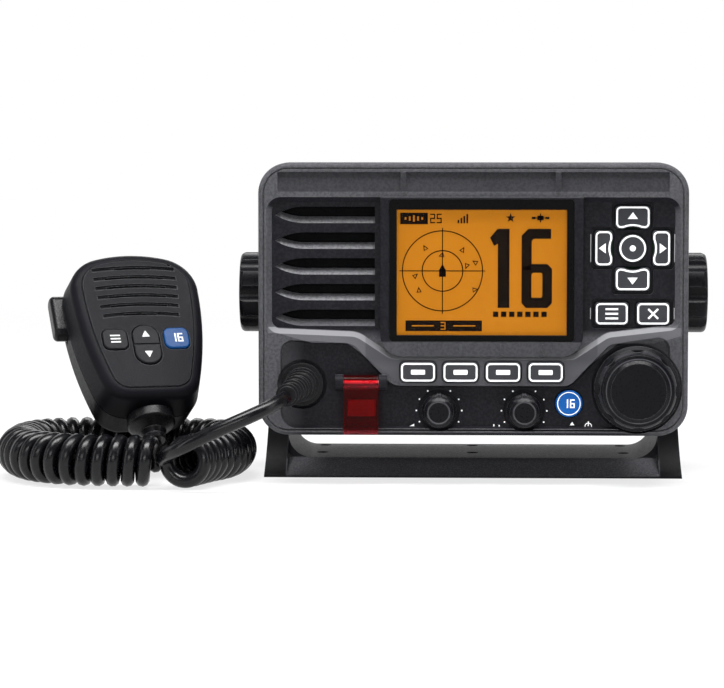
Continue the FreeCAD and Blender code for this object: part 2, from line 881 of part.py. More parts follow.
def cut_control_wells(body):
    wells = Drawing(body, "XZ")
    shafts = Drawing(body, "XZ")
    for across in (d.volume_across, d.squelch_across):
        wells.circle((across, d.knob_up), d.knob_well)
        shafts.circle((across, d.knob_up), d.shaft_diameter + d.shaft_clearance * 2)
    pocket(wells, d.lower_recess + d.knob_well_depth)
    shafts.circle((d.dial_across, d.dial_up), d.plunger_diameter + d.shaft_clearance * 2)
    shafts.circle((d.entry_across, d.entry_up), d.entry_neck)
    pocket(shafts, d.front_wall * 2)
    entry = Drawing(body, "XZ")
    entry.circle((d.entry_across, d.entry_up), d.entry_well)
    pocket(entry, d.lower_recess + d.entry_well_depth)
    dial = Drawing(body, "XZ")
    dial.circle((d.dial_across, d.dial_up), d.dial_skirt + d.dial_well_gap * 2)
    pocket(dial, d.lower_recess + d.dial_well_depth)


def add_cover_lugs(body):
    """Two rounded lugs carry the pin of the distress cover."""
    axis = d.lower_recess - d.cover_stand
    radius = d.lug_diameter / 2
    for side in (-1, 1):
        near = d.distress_across + (d.cover_width / 2 + d.cover_side_gap) * side
        lug = Drawing(body, "YZ", near)
        lug.outline((d.lower_recess + d.lug_root, d.cover_pin_up - radius),
                    (axis, d.cover_pin_up - radius),
                    ((axis - radius, d.cover_pin_up), (axis, d.cover_pin_up + radius)),
                    (d.lower_recess + d.lug_root, d.cover_pin_up + radius))
        pad(lug, d.lug_width, towards=side)
    bore = Drawing(body, "YZ", d.distress_across)
    bore.circle((axis, d.cover_pin_up), d.cover_pin_diameter)
    pocket(bore, d.cover_width + d.cover_side_gap * 2 + d.lug_width, both=True)


def front_bezel():
    body = new_body("front_bezel", PANEL)
    slab = Drawing(body, "XZ")
    centred(slab, (0, 0), d.panel_width, d.panel_height, d.panel_corner)
    pad(slab, d.bezel_depth)
    dress(body, "Fillet", d.rim_round, at_depth(0))
    cut_rim_and_brow(body)
    cavity = Drawing(body, "XZ", d.bezel_depth)
    centred(cavity, (0, 0), d.panel_width - d.bezel_wall * 2, d.panel_height - d.bezel_wall * 2,
            d.panel_corner - d.bezel_wall)
    pocket(cavity, d.bezel_depth - d.front_wall, towards=-1)
    cut_recesses(body)
    add_display_frame(body)
    cut_louvres(body)
    cut_key_openings(body)
    cut_control_wells(body)
    add_cover_lugs(body)
    bosses = Drawing(body, "XZ", d.bezel_depth)
    for across in (-d.screw_across, d.screw_across):
        for up in (-d.screw_up, d.screw_up):
            bosses.circle((across, up), d.boss_diameter)
    pad(bosses, d.bezel_depth - d.front_wall, towards=-1)
    holes = Drawing(body, "XZ", d.bezel_depth)
    for across in (-d.screw_across, d.screw_across):
        for up in (-d.screw_up, d.screw_up):
            holes.circle((across, up), d.screw_diameter)
    pocket(holes, d.screw_length - d.chassis_flange - d.gasket_thickness, towards=-1)
    return body


# ---------------------------------------------------------------- transceiver: display and sound
def lens_window():
    body = new_body("lens_window", PANEL)
    glass = Drawing(body, "XZ", d.window_thickness - d.display_proud)
    gap = d.face_gap
    glass.box(d.window_left + gap, d.window_bottom + gap, d.window_right - gap,
              d.window_top - gap, d.window_corner - gap)
    pad(glass, d.window_thickness - d.face_gap, towards=-1)


def lcd_module():
    body = new_body("lcd_module", PANEL)
    gap = d.face_gap
    back = d.window_thickness - d.display_proud
    cell = Drawing(body, "XZ", d.board_front)
    cell.box(d.screen_left + gap, d.screen_bottom + gap, d.screen_right - gap, d.screen_top - gap)
    pad(cell, d.board_front - back - gap, towards=-1)
    frame = Drawing(body, "XZ", d.board_front)
    rim = d.display_border - d.key_gap * 2
    frame.box(d.screen_left - rim, d.screen_bottom - rim, d.screen_right + rim, d.screen_top + rim)
    pad(frame, d.board_front - d.front_wall, towards=-1)


def key_board():
    body = new_body("key_board", PANEL)
    board = Drawing(body, "XZ", d.board_front)
    side = d.screw_across - d.boss_diameter
    top = d.screw_up - d.boss_diameter
    foot = -d.panel_height / 2 + d.bezel_wall + d.board_margin
    wing = side + d.board_wing
    left = d.distress_across - d.distress_key_width
    board.outline((wing, -top), (wing, top), (d.window_left, top), (d.window_left, -top),
                  (left, -top), (left, foot), (side, foot), (side, -top))
    pad(board, d.board_thickness)


def speaker_parts():
    middle = (d.louvre_tip + d.louvre_end) / 2
    height = (d.louvre_count - 1) * d.louvre_pitch + d.louvre_height
    up = d.louvre_top - height / 2
    mesh = new_body("speaker_mesh", PANEL)
    sheet = Drawing(mesh, "XZ", d.front_wall)
    centred(sheet, (middle, up), d.louvre_end - d.louvre_tip + d.mesh_margin * 2,
            height + d.mesh_margin * 2)
    pad(sheet, d.mesh_thickness)
    driver = new_body("speaker_driver", (middle, d.panel_front, d.panel_middle + up))
    front = d.front_wall + d.mesh_thickness
    rim = d.speaker_diameter / 2
    magnet = d.magnet_diameter / 2
    back = front + d.speaker_depth
    basket = Drawing(driver, "XY")
    ledge = front + d.basket_rim
    basket.outline((rim, front), (rim, ledge), (rim - d.basket_ledge, ledge),
                   (magnet, back - d.magnet_depth), (magnet, back), (0, back), (0, front))
    turn(basket)


# ---------------------------------------------------------------- transceiver: keys
def key(label, draw, floor, flange, bite=None):
    """A cap through the front wall, a flange behind it and a short stem over the board."""
    body = new_body(label, PANEL)
    front = floor - d.key_proud
    flange_front = d.front_wall + d.key_gap
    cap = Drawing(body, "XZ", front)
    draw(cap, (0, 0, 0, 0))
    pad(cap, flange_front - front)
    if bite is not None:
        scoop = Drawing(body, "XZ", front)
        scoop.circle(*bite)
        pocket(scoop, flange_front - front)
    dress(body, "Fillet", d.key_edge, at_depth(front))
    rim = Drawing(body, "XZ", flange_front)
    middle = draw(rim, flange)
    pad(rim, d.key_flange_thickness)
    if bite is not None:
        scoop = Drawing(body, "XZ", flange_front)
        scoop.circle(*bite)
        pocket(scoop, d.key_flange_thickness)
    stem = Drawing(body, "XZ", flange_front + d.key_flange_thickness)
    stem.circle(middle, d.key_stem)
    pad(stem, KEY_STEM_END - flange_front - d.key_flange_thickness)


def oblong(middle, width, height, corner):
    """Draws a rounded key outline, grown by the flange on the sides that have one."""
    def draw(drawing, flange):
        left, bottom, right, top = (d.key_flange * share for share in flange)
        drawing.box(middle[0] - width / 2 - left, middle[1] - height / 2 - bottom,
                    middle[0] + width / 2 + right, middle[1] + height / 2 + top, corner)
        return middle
    return draw


def disc(middle, diameter):
    """Draws a round key outline, grown by the flange."""
    def draw(drawing, flange):
        drawing.circle(middle, diameter + d.key_flange * (flange[0] * 2))
        return middle
    return draw


def keys():
    for number, place in enumerate(softkey_places(), start=1):
        shape = oblong(place, d.softkey_width, d.softkey_height, d.softkey_corner)
        key(f"softkey_{number}", shape, Size.of(0), (1, 1, 1, 1))
    floor = d.upper_recess + d.pad_recess
    ring = ((d.pad_across, d.pad_up), d.enter_diameter + d.pad_clearance * 2)
    outward = {"up_key": (0, 0, 0, 1), "down_key": (0, 1, 0, 0),
               "left_key": (1, 0, 0, 0), "right_key": (0, 0, 1, 0)}
    for label, (middle, (width, height)) in arrow_places().items():
        shape = oblong(middle, width, height, d.arrow_corner)
        key(label, shape, floor, outward[label], bite=ring)
    key("enter_key", disc((d.pad_across, d.pad_up), d.enter_diameter), floor, (1, 1, 1, 1))
    for label, across in (("menu_key", d.menu_across), ("clear_key", d.clear_across)):
        shape = oblong((across, d.menu_row), d.menu_width, d.menu_height, d.arrow_corner)
        key(label, shape, floor, (1, 1, 1, 1))
    blue = disc((d.channel_key_across, d.channel_key_up), d.channel_key_diameter)
    key("channel_key", blue, d.lower_recess, (1, 1, 1, 1))
    red = oblong((d.distress_across, d.distress_key_up), d.distress_key_width,
                 d.distress_key_height, d.key_edge + d.key_gap)
    key("distress_key", red, d.lower_recess, (1, 1, 1, 1))


# ---------------------------------------------------------------- transceiver: distress cover
def distress_cover():
    axis = d.lower_recess - d.cover_stand
    place = (d.distress_across, d.panel_front + axis, d.panel_middle + d.cover_pin_up)
    cover = new_body("distress_cover", place)
    roll = d.cover_roll / 2
    bottom = d.cover_bottom - d.cover_pin_up
    inner = -roll + d.cover_thickness
    lip = -axis - d.key_gap
    under = d.cover_undercut
    sill = bottom + d.cover_thickness
    side = Drawing(cover, "YZ")
    side.outline((-roll, bottom + d.cover_bevel), (-roll, 0), ((0, roll), (roll, 0)),
                 ((0, -roll), (-under, -roll)), (inner, -roll - under), (inner, sill),
                 (lip, sill), (lip, bottom), (-roll + d.cover_bevel, bottom))
    pad(side, d.cover_width, both=True)
    bore = Drawing(cover, "YZ")
    bore.circle((0, 0), d.cover_pin_diameter + d.shaft_clearance * 2)
    pocket(bore, d.cover_width * 2, both=True)
    pin = new_body("cover_pin", place)
    rod = Drawing(pin, "YZ")
    rod.circle((0, 0), d.cover_pin_diameter)
    pad(rod, d.cover_width + d.cover_side_gap * 2 + d.lug_width, both=True)


# ---------------------------------------------------------------- transceiver: rotary controls
def small_knob(name, across):
    """A tapered knob with grip flutes and a pointer, on its own shaft."""
    place = (across, d.panel_front, d.panel_middle + d.knob_up)
    knob = new_body(f"{name}_knob", place)
    back = d.lower_recess + d.knob_well_depth - d.key_gap
    front = back - d.knob_height
    rim = d.knob_diameter / 2
    cap = d.knob_cap_diameter / 2
    side = Drawing(knob, "XY")
    bevel = d.knob_bevel
    neck = back - d.knob_skirt - d.knob_skirt_slope
    side.outline((0, back), (rim, back), (rim, back - d.knob_skirt),
                 (rim - d.knob_skirt_slope, neck), (cap + bevel, front + bevel * 2),
                 (cap, front + bevel), (cap - bevel, front), (0, front))
    turn(side)
    bore = Drawing(knob, "XZ", back)
    bore.circle((0, 0), d.shaft_diameter + d.shaft_clearance * 2)
    pocket(bore, d.knob_height - d.knob_crown, towards=-1)
    flute = Drawing(knob, "XZ", neck)
    flute.circle((0, d.knob_flute_bite - rim - d.knob_flute), d.knob_flute * 2)
    cut = pocket(flute, d.knob_height, towards=-1)
    repeat_round(knob, [cut], "Y_Axis", d.knob_flutes)
    pointer = Drawing(knob, "XZ", back)
    tip = rim + d.pointer_reach
    pointer.outline((-d.pointer_foot, cap), (-d.pointer_tip, tip), (d.pointer_tip, tip),
                    (d.pointer_foot, cap))
    pad(pointer, d.knob_height - d.pointer_crown, towards=-1)
    shaft = new_body(f"{name}_shaft", place)
    foot = d.board_front - d.key_gap
    rod = Drawing(shaft, "XZ", foot)
    rod.circle((0, 0), d.shaft_diameter)
    pad(rod, foot - front - d.knob_crown - d.key_gap, towards=-1)


def channel_dial():
    place = (d.dial_across, d.panel_front, d.panel_middle + d.dial_up)
    dial = new_body("channel_dial", place)
    back = d.lower_recess + d.dial_well_depth - d.dial_travel - d.key_gap
    front = back - d.dial_height
    skirt = d.dial_skirt / 2
    rim = d.dial_rim / 2
    face = d.dial_face / 2
    side = Drawing(dial, "XY")
    edge = d.dial_edge
    side.outline((0, back), (skirt, back), (skirt, back - d.dial_skirt_height + edge * 2),
                 (rim, back - d.dial_skirt_height), (rim - d.dial_draft, front + d.dial_shoulder),
                 (rim - d.dial_bevel, front + d.dial_land),
                 (face + d.dial_ring_width, front + d.dial_ring_drop),
                 (face, front + edge), (face - edge, front), (0, front))
    turn(side)
    flute = Drawing(dial, "XZ", back - d.dial_skirt_height)
    flute.circle((0, rim + d.dial_flute_radius - d.dial_flute_bite), d.dial_flute_radius * 2)
    cut = pocket(flute, d.dial_height, towards=-1)
    repeat_round(dial, [cut], "Y_Axis", d.dial_flutes)
    bore = Drawing(dial, "XZ", back)
    bore.circle((0, 0), d.dial_shaft_diameter + d.shaft_clearance * 2)
    pocket(bore, d.dial_height - d.dial_crown, towards=-1)
    shaft = new_body("dial_shaft", place)
    rod = Drawing(shaft, "XZ", KEY_STEM_END)
    rod.circle((0, 0), d.dial_shaft_diameter)
    pad(rod, KEY_STEM_END - front - d.dial_crown - d.key_gap, towards=-1)
    plunger = new_body("dial_plunger", place)
    sleeve = Drawing(plunger, "XZ", back + d.key_gap)
    sleeve.circle((0, 0), d.plunger_diameter)
    sleeve.circle((0, 0), d.dial_shaft_diameter + d.shaft_clearance * 2)
    pad(sleeve, KEY_STEM_END - back - d.key_gap)
    flange = Drawing(plunger, "XZ", d.front_wall + d.key_gap)
    flange.circle((0, 0), d.plunger_flange)
    flange.circle((0, 0), d.dial_shaft_diameter + d.shaft_clearance * 2)
    pad(flange, d.key_flange_thickness)


# ---------------------------------------------------------------- transceiver: cable entry
def mic_grommet():
    """A ribbed rubber strain relief whose tip bends the way the lead leaves."""
    body = new_body("mic_grommet", (d.entry_across, d.panel_front, d.panel_middle + d.entry_up))
    seat = d.lower_recess + d.entry_well_depth
    base = Drawing(body, "XZ", seat)
    base.circle((0, 0), d.relief_base)
    pad(base, seat - d.lower_recess + d.relief_root, towards=-1)
    neck = Drawing(body, "XZ", seat)
    neck.circle((0, 0), d.entry_neck - d.face_gap * 2)
    pad(neck, d.front_wall - seat)
    lock = Drawing(body, "XZ", d.front_wall)
    lock.circle((0, 0), d.relief_lock_diameter)
    pad(lock, d.relief_lock)
    rings = int(float(d.relief_rings))
    start = d.lower_recess - d.relief_root
    for number in range(rings):
        share = number / (rings - 1)
        wide = d.relief_first * (1 - share) + d.relief_tip * share
        curl = share ** float(d.relief_curl)
        centre = (d.relief_aside * curl, -d.relief_drop * curl)
        depth = start - (d.relief_length - d.relief_ring + d.relief_ring_start) * share
        core = Drawing(body, "XZ", depth)
        core.circle(centre, wide - d.relief_groove)
        pad(core, d.relief_length / rings, towards=-1)
        ring = Drawing(body, "XZ", depth + d.relief_ring_start)
        ring.circle(centre, wide)
        pad(ring, d.relief_ring, towards=-1)


# ---------------------------------------------------------------- transceiver: chassis
def panel_gasket():
    body = new_body("panel_gasket", PANEL)
    ring = Drawing(body, "XZ", d.bezel_depth)
    for inset in (d.flange_inset, d.flange_inset + d.gasket_width):
        centred(ring, (0, 0), d.panel_width - inset * 2, d.panel_height - inset * 2,
                d.panel_corner - inset)
    pad(ring, d.gasket_thickness)


def rear_chassis():
    body = new_body("rear_chassis", PANEL)
    front = d.bezel_depth + d.gasket_thickness
    flange = Drawing(body, "XZ", front)
    centred(flange, (0, 0), d.panel_width - d.flange_inset * 2,
            d.panel_height - d.flange_inset * 2, d.panel_corner - d.flange_inset)
    pad(flange, d.chassis_flange)
    block = Drawing(body, "XZ", front)
    block.box(-d.chassis_half_width, d.chassis_bottom, d.chassis_half_width, d.chassis_top,
              d.chassis_corner)
    pad(block, d.chassis_back - front)
    wall = d.chassis_wall
    cavity = Drawing(body, "XZ", front)
    cavity.box(-d.chassis_half_width + wall, d.chassis_bottom + wall,
               d.chassis_half_width - wall, d.chassis_top - wall, d.cavity_corner)
    pocket(cavity, d.chassis_cavity_back - front)
    first = -d.fin_pitch * (d.fin_count - 1) / 2
    back_slot = Drawing(body, "XZ", d.chassis_back)
    back_slot.box(first - d.fin_gap / 2, d.fin_foot, first + d.fin_gap / 2,
                  d.chassis_top + d.overcut)
    rear = pocket(back_slot, d.fin_depth, towards=-1)
    top_slot = Drawing(body, "XY", d.chassis_top)
    top_slot.box(first - d.fin_gap / 2, front + d.chassis_flange + d.top_fin_start,
                 first + d.fin_gap / 2, d.chassis_back + d.overcut)
    above = pocket(top_slot, d.chassis_wall - d.fin_floor, towards=-1)
    repeat_along(body, [rear, above], "X_Axis", d.fin_pitch, d.fin_count)
    for side in (-1, 1):
        boss = Drawing(body, "YZ", d.chassis_half_width * side)
        boss.circle((d.pivot_depth, 0), d.pivot_pad_diameter)
        pad(boss, d.pivot_pad_height, towards=side)
        bore = Drawing(body, "YZ", (d.chassis_half_width + d.pivot_pad_height) * side)
        bore.circle((d.pivot_depth, 0), d.stud_diameter + d.shaft_clearance * 2)
        pocket(bore, d.pivot_pad_height + d.chassis_wall, towards=-side)
        rib = Drawing(body, "XZ", front + d.board_start)
        centred(rib, (d.board_rest * side, d.chassis_bottom + wall + d.board_rise / 2),
                d.board_rest_width, d.board_rise)
        pad(rib, d.main_board_length)
    holes = Drawing(body, "XZ", front)
    for across in (-d.screw_across, d.screw_across):
        for up in (-d.screw_up, d.screw_up):
            holes.circle((across, up), d.screw_diameter + d.key_gap)
    pocket(holes, d.chassis_flange)
    sockets = Drawing(body, "XZ", d.chassis_back)
    for across in (d.aerial_across, d.power_across, d.data_across):
        sockets.circle((across, d.socket_row), d.socket_neck + d.face_gap * 2)
    pocket(sockets, d.socket_depth, towards=-1)


def main_board():
    body = new_body("main_board", PANEL)
    rest = d.chassis_bottom + d.chassis_wall + d.board_rise
    board = Drawing(body, "XY", rest)
    front = d.bezel_depth + d.gasket_thickness + d.board_start
    half = d.chassis_half_width - d.chassis_wall - d.chassis_corner
    board.box(-half, front, half, front + d.main_board_length)
    pad(board, d.board_thickness)


def chassis_screws():
    body = new_body("chassis_screws", PANEL)
    seat = d.bezel_depth + d.gasket_thickness + d.chassis_flange
    places = [(across, up) for across in (-d.screw_across, d.screw_across)
              for up in (-d.screw_up, d.screw_up)]
    heads = Drawing(body, "XZ", seat)
    for place in places:
        heads.circle(place, d.screw_head)
    pad(heads, d.screw_head_height)
    shanks = Drawing(body, "XZ", seat)
    for place in places:
        shanks.circle(place, d.screw_diameter - d.face_gap)
    pad(shanks, d.screw_length, towards=-1)


def rear_socket(label, across, flange, barrel, length, bore):
    """A round fitting on the back: flange, barrel, blind bore, and a neck into the casting."""
    place = (across, d.panel_front + d.chassis_back, d.panel_middle + d.socket_row)
    body = new_body(label, place)
    plate = Drawing(body, "XZ")
    if label == "aerial_socket":
        centred(plate, (0, 0), flange, flange, d.socket_corner)
    else:
        plate.circle((0, 0), flange)
    pad(plate, d.socket_flange)
    tube = Drawing(body, "XZ")
    tube.circle((0, 0), barrel)
    pad(tube, length)
    hole = Drawing(body, "XZ", length)
    hole.circle((0, 0), bore)
    pocket(hole, length - d.socket_floor, towards=-1)
    neck = Drawing(body, "XZ")
    neck.circle((0, 0), d.socket_neck)
    pad(neck, d.socket_depth - d.key_gap, towards=-1)


# ---------------------------------------------------------------- bracket and side knobs
PIVOT_Y = d.panel_front + d.pivot_depth
PIVOT = (0, PIVOT_Y, d.panel_middle)


def hole_places():
    half = d.hole_spacing_across / 2
    deep = d.hole_spacing_deep / 2
    return [(across, back) for across in (-half, Size.of(0), half) for back in (-deep, deep)]


def add_bracket_feet(body, under):
    """The ramp in front of the web, its upswept ends, and the heel behind the web."""
    front = d.bracket_front
    toe = d.bracket_foot_front
    plate = d.bracket_plate
    edge = d.bracket_foot_edge
    half_width = d.bracket_foot_half_width
    ramp = Drawing(body, "YZ")
    ramp.outline((front, under), (front, d.bracket_web_top), (toe, edge), (toe, 0),
                 (toe + plate * 2, 0))
    pad(ramp, half_width * 2, both=True)
    sweep = d.bracket_sweep_top
    run = float(front - toe)
    rise = float(sweep - edge)
    radius = (run ** 2 + rise ** 2) / (2 * run)
    outer = radius + float(plate)
    foot = outer - math.sqrt(outer ** 2 - float(sweep) ** 2)

    def half_way(arc, drop):
        """Back from the sweep's top and down from it, half way along an arc."""
        angle = math.asin(drop / arc) / 2
        return arc * (1 - math.cos(angle)), arc * math.sin(angle)

    near = half_way(radius, rise)
    far = half_way(outer, float(sweep))
    for side in (-1, 1):
        end = Drawing(body, "YZ", half_width * side)
        end.outline((front, sweep),
                    ((front - near[0], sweep - near[1]), (toe, edge)), (toe, 0),
                    (front + plate - foot, 0),
                    ((front + plate - far[0], sweep - far[1]), (front + plate, sweep)))
        pad(end, half_width - d.bracket_inside, towards=-side)
    slope = Drawing(body, "XZ", toe)
    flange = d.bracket_inside + d.bracket_plate + d.bracket_flange
    for side in (-1, 1):
        slope.outline((half_width * side, 0), (flange * side, sweep),
                      ((half_width + d.overcut) * side, sweep),
                      ((half_width + d.overcut) * side, 0))
    pocket(slope, front + plate - toe)
    heel = Drawing(body, "YZ")
    heel.outline((d.bracket_back, d.bracket_web_top), (d.bracket_back, under),
                 (d.bracket_foot_back - plate * 1.5, 0), (d.bracket_foot_back, 0),
                 (d.bracket_foot_back, edge))
    pad(heel, d.bracket_heel_half_width * 2, both=True)


def mounting_bracket():
    body = new_body("mounting_bracket")
    ear = PIVOT_Y - d.bracket_front
    top = d.panel_middle + ear
    inside = d.bracket_inside
    outside = inside + d.bracket_plate
    web = d.bracket_web_top
    under = web - d.bracket_plate
    bend = d.bracket_bend
    small = bend * (1 - math.sqrt(0.5))
    wide = bend + d.bracket_plate
    large = wide * (1 - math.sqrt(0.5))
    strap = Drawing(body, "XZ", d.bracket_front)
    strap.outline(
        (-outside, under + wide),
        ((-outside + large, under + large), (-outside + wide, under), wide),
        (outside - wide, under),
        ((outside - large, under + large), (outside, under + wide), wide),
        (outside, top), (inside, top), (inside, web + bend),
        ((inside - small, web + small), (inside - bend, web), bend),
        (-inside + bend, web),
        ((-inside + small, web + small), (-inside, web + bend), bend),
        (-inside, top), (-outside, top))
    pad(strap, d.bracket_back - d.bracket_front)
    trim = Drawing(body, "YZ")
    shoulder = web + bend
    beyond = d.overcut
    trim.outline(
        (d.bracket_back + beyond, shoulder), (d.bracket_back + beyond, top + beyond),
        (d.bracket_front - beyond, top + beyond), (d.bracket_front - beyond, d.panel_middle),
        (d.bracket_front, d.panel_middle),
        ((PIVOT_Y, top), (PIVOT_Y + ear, d.panel_middle)),
        (d.bracket_back, shoulder))
    pocket(trim, outside * 3, both=True)
    rise = d.flange_top
    for side in (-1, 1):
        front = Drawing(body, "YZ", inside * side)
        front.box(d.bracket_front, under, d.bracket_front + d.bracket_plate, rise)
        pad(front, d.bracket_plate + d.bracket_flange, towards=side)
        slant = (d.bracket_back - PIVOT_Y - ear) / (d.panel_middle - shoulder)
        inset = slant * (rise - shoulder)
        back = Drawing(body, "YZ", inside * side)
        back.outline((d.bracket_back - d.bracket_plate, under), (d.bracket_back, under),
                     (d.bracket_back, shoulder), (d.bracket_back - inset, rise),
                     (d.bracket_back - inset - d.bracket_plate, rise),
                     (d.bracket_back - d.bracket_plate, shoulder))
        pad(back, d.bracket_plate + d.bracket_flange, towards=side)
    add_bracket_feet(body, under)
    bosses = Drawing(body, "XY")
    holes = Drawing(body, "XY")
    for place in hole_places():
        bosses.circle(place, d.hole_boss)
        holes.circle(place, d.hole_diameter)
    pad(bosses, web)
    pocket(holes, web * 2, towards=1)
    pivots = Drawing(body, "YZ")
    pivots.circle((PIVOT_Y, d.panel_middle), d.stud_diameter + d.bracket_hole_clearance * 2)
    pocket(pivots, outside * 3, both=True)


def side_knob(name, side):
    """A lobed clamp knob; the left one is the right one turned half round the upright axis."""
    inner = d.bracket_inside + d.bracket_plate + d.face_gap
    grip = d.bracket_inside + d.bracket_plate + d.bracket_flange + d.key_gap
    knob = new_body(f"{name}_knob", PIVOT)
    stud = new_body(f"{name}_stud", PIVOT)
    for body in (knob, stud):
        body.Placement.Rotation = Rotation(Vector(0, 0, 1), 0 if side > 0 else 180)
    handle = Drawing(knob, "YZ", grip)
    handle.circle((0, 0), d.side_knob_diameter)
    pad(handle, d.side_knob_outer - grip)
    rim = d.side_knob_outer
    dress(knob, "Fillet", d.side_knob_round, lambda edge: edge.BoundBox.XMin > float(rim) - 1e-4)
    flute = Drawing(knob, "YZ", grip)
    away = d.side_knob_diameter / 2 + d.side_knob_flute - d.side_knob_bite
    flute.circle((0, away), d.side_knob_flute * 2)
    cut = pocket(flute, d.side_knob_outer - grip, towards=1)
    repeat_round(knob, [cut], "X_Axis", d.side_knob_lobes)
    dish = Drawing(knob, "YZ", d.side_knob_outer)
    dish.circle((0, 0), d.side_knob_cap)
    pocket(dish, d.side_knob_dish, towards=-1)
    hub = Drawing(knob, "YZ", inner)
    hub.circle((0, 0), d.washer_diameter)
    pad(hub, grip - inner)
    bore = Drawing(knob, "YZ", inner)
    bore.circle((0, 0), d.stud_diameter + d.shaft_clearance * 2)
    pocket(bore, d.side_knob_outer - inner - d.side_knob_crown)
    rod = Drawing(stud, "YZ", d.stud_reach)
    rod.circle((0, 0), d.stud_diameter)
    pad(rod, d.side_knob_outer - d.side_knob_crown - d.key_gap - d.stud_reach)


def friction_washers():
    body = new_body("friction_washers", PIVOT)
    start = d.chassis_half_width + d.pivot_pad_height
    for side in (-1, 1):
        ring = Drawing(body, "YZ", start * side)
        ring.circle((0, 0), d.washer_diameter)
        ring.circle((0, 0), d.washer_bore)
        pad(ring, d.bracket_inside - d.face_gap - start, towards=side)


def transceiver():
    front_bezel()
    lens_window()
    lcd_module()
    key_board()
    speaker_parts()
    keys()
    distress_cover()
    small_knob("volume", d.volume_across)
    small_knob("squelch", d.squelch_across)
    channel_dial()
    mic_grommet()
    panel_gasket()
    rear_chassis()
    main_board()
    chassis_screws()
    rear_socket("aerial_socket", d.aerial_across, d.aerial_flange, d.aerial_diameter,
                d.aerial_length, d.aerial_bore)
    rear_socket("power_gland", d.power_across, d.gland_flange, d.gland_diameter,
                d.gland_length, d.gland_bore)
    rear_socket("data_gland", d.data_across, d.gland_flange, d.gland_diameter,
                d.gland_length, d.gland_bore)


def stand():
    mounting_bracket()
    side_knob("right", 1)
    side_knob("left", -1)
    friction_washers()


# ---------------------------------------------------------------- handset
HANDSET = (d.handset_across, d.handset_deep, d.handset_up)
HANDSET_TURN = Rotation(Vector(0, 0, 1), float(d.handset_yaw)).multiply(
    Rotation(Vector(1, 0, 0), -float(d.handset_lean)))


def handset_body(label):
    """A sub-part in the handset's frame: X across it, Y to its back, Z up its length."""
    body = new_body(label, HANDSET)
    body.Placement.Rotation = HANDSET_TURN
    return body


def egg(drawing, inset=0.0):
    """The handset's outline: a flat top arc, round shoulders and sides that draw in below."""
    inset = float(inset)
    half = float(d.handset_width) / 2
    shoulder = float(d.handset_shoulder)
    crown = float(d.handset_crown)
    foot_half = float(d.handset_foot_width) / 2
    top = float(d.handset_length)
    foot = float(d.handset_foot)
    crown_middle = top - crown
    bend_across = half - shoulder
    bend_up = crown_middle + math.sqrt((crown - shoulder) ** 2 - bend_across ** 2)
    rise = bend_up - foot
    narrowing = half - foot_half
    side = (narrowing ** 2 + rise ** 2) / (2 * narrowing)
    along = (bend_across / (crown - shoulder), (bend_up - crown_middle) / (crown - shoulder))
    joint = (along[0] * (crown - inset), crown_middle + along[1] * (crown - inset))
    diagonal = math.atan2(along[1], along[0]) / 2
    bend = shoulder - inset
    bulge = (bend_across + bend * math.cos(diagonal), bend_up + bend * math.sin(diagonal))
    radius = side - inset
    low = foot + inset
    turn = float(d.handset_foot_round)
    turn_up = foot + turn
    turn_across = half - side + math.sqrt((side - turn) ** 2 - (bend_up - turn_up) ** 2)
    down = math.atan2(turn_up - bend_up, turn_across - (half - side))
    small = turn - inset

    def flank(angle):
        return (half - side + radius * math.cos(angle), bend_up + radius * math.sin(angle))

    def heel(angle):
        return (turn_across + small * math.cos(angle), turn_up + small * math.sin(angle))

    joint_low = flank(down)
    waist = flank(down / 2)
    dip = heel((down - math.pi / 2) / 2)
    return drawing.outline(
        (turn_across, low),
        (dip, joint_low),
        (waist, (half - inset, bend_up)),
        (bulge, joint),
        ((0, top - inset), (-joint[0], joint[1])),
        ((-bulge[0], bulge[1]), (-half + inset, bend_up)),
        ((-waist[0], waist[1]), (-joint_low[0], joint_low[1])),
        ((-dip[0], dip[1]), (-turn_across, low)))


def handset_keys():
    """Name, middle and size of the two keys on the handset's face."""
    row = d.handset_key_row
    return {
        "handset_left_key": ((-d.handset_key_side, row), d.handset_key_width, d.handset_key_height),
        "handset_blue_key": ((d.handset_key_side, row), d.handset_key_width, d.handset_key_height),
    }


def cut_neck(body):
    """The round way in for the boot's neck at the handset's foot."""
    neck = Drawing(body, "XY", d.handset_foot - d.overcut)
    neck.circle((0, 0), d.boot_neck + d.face_gap * 2)
    pocket(neck, d.handset_wall * 2 + d.overcut, towards=1)


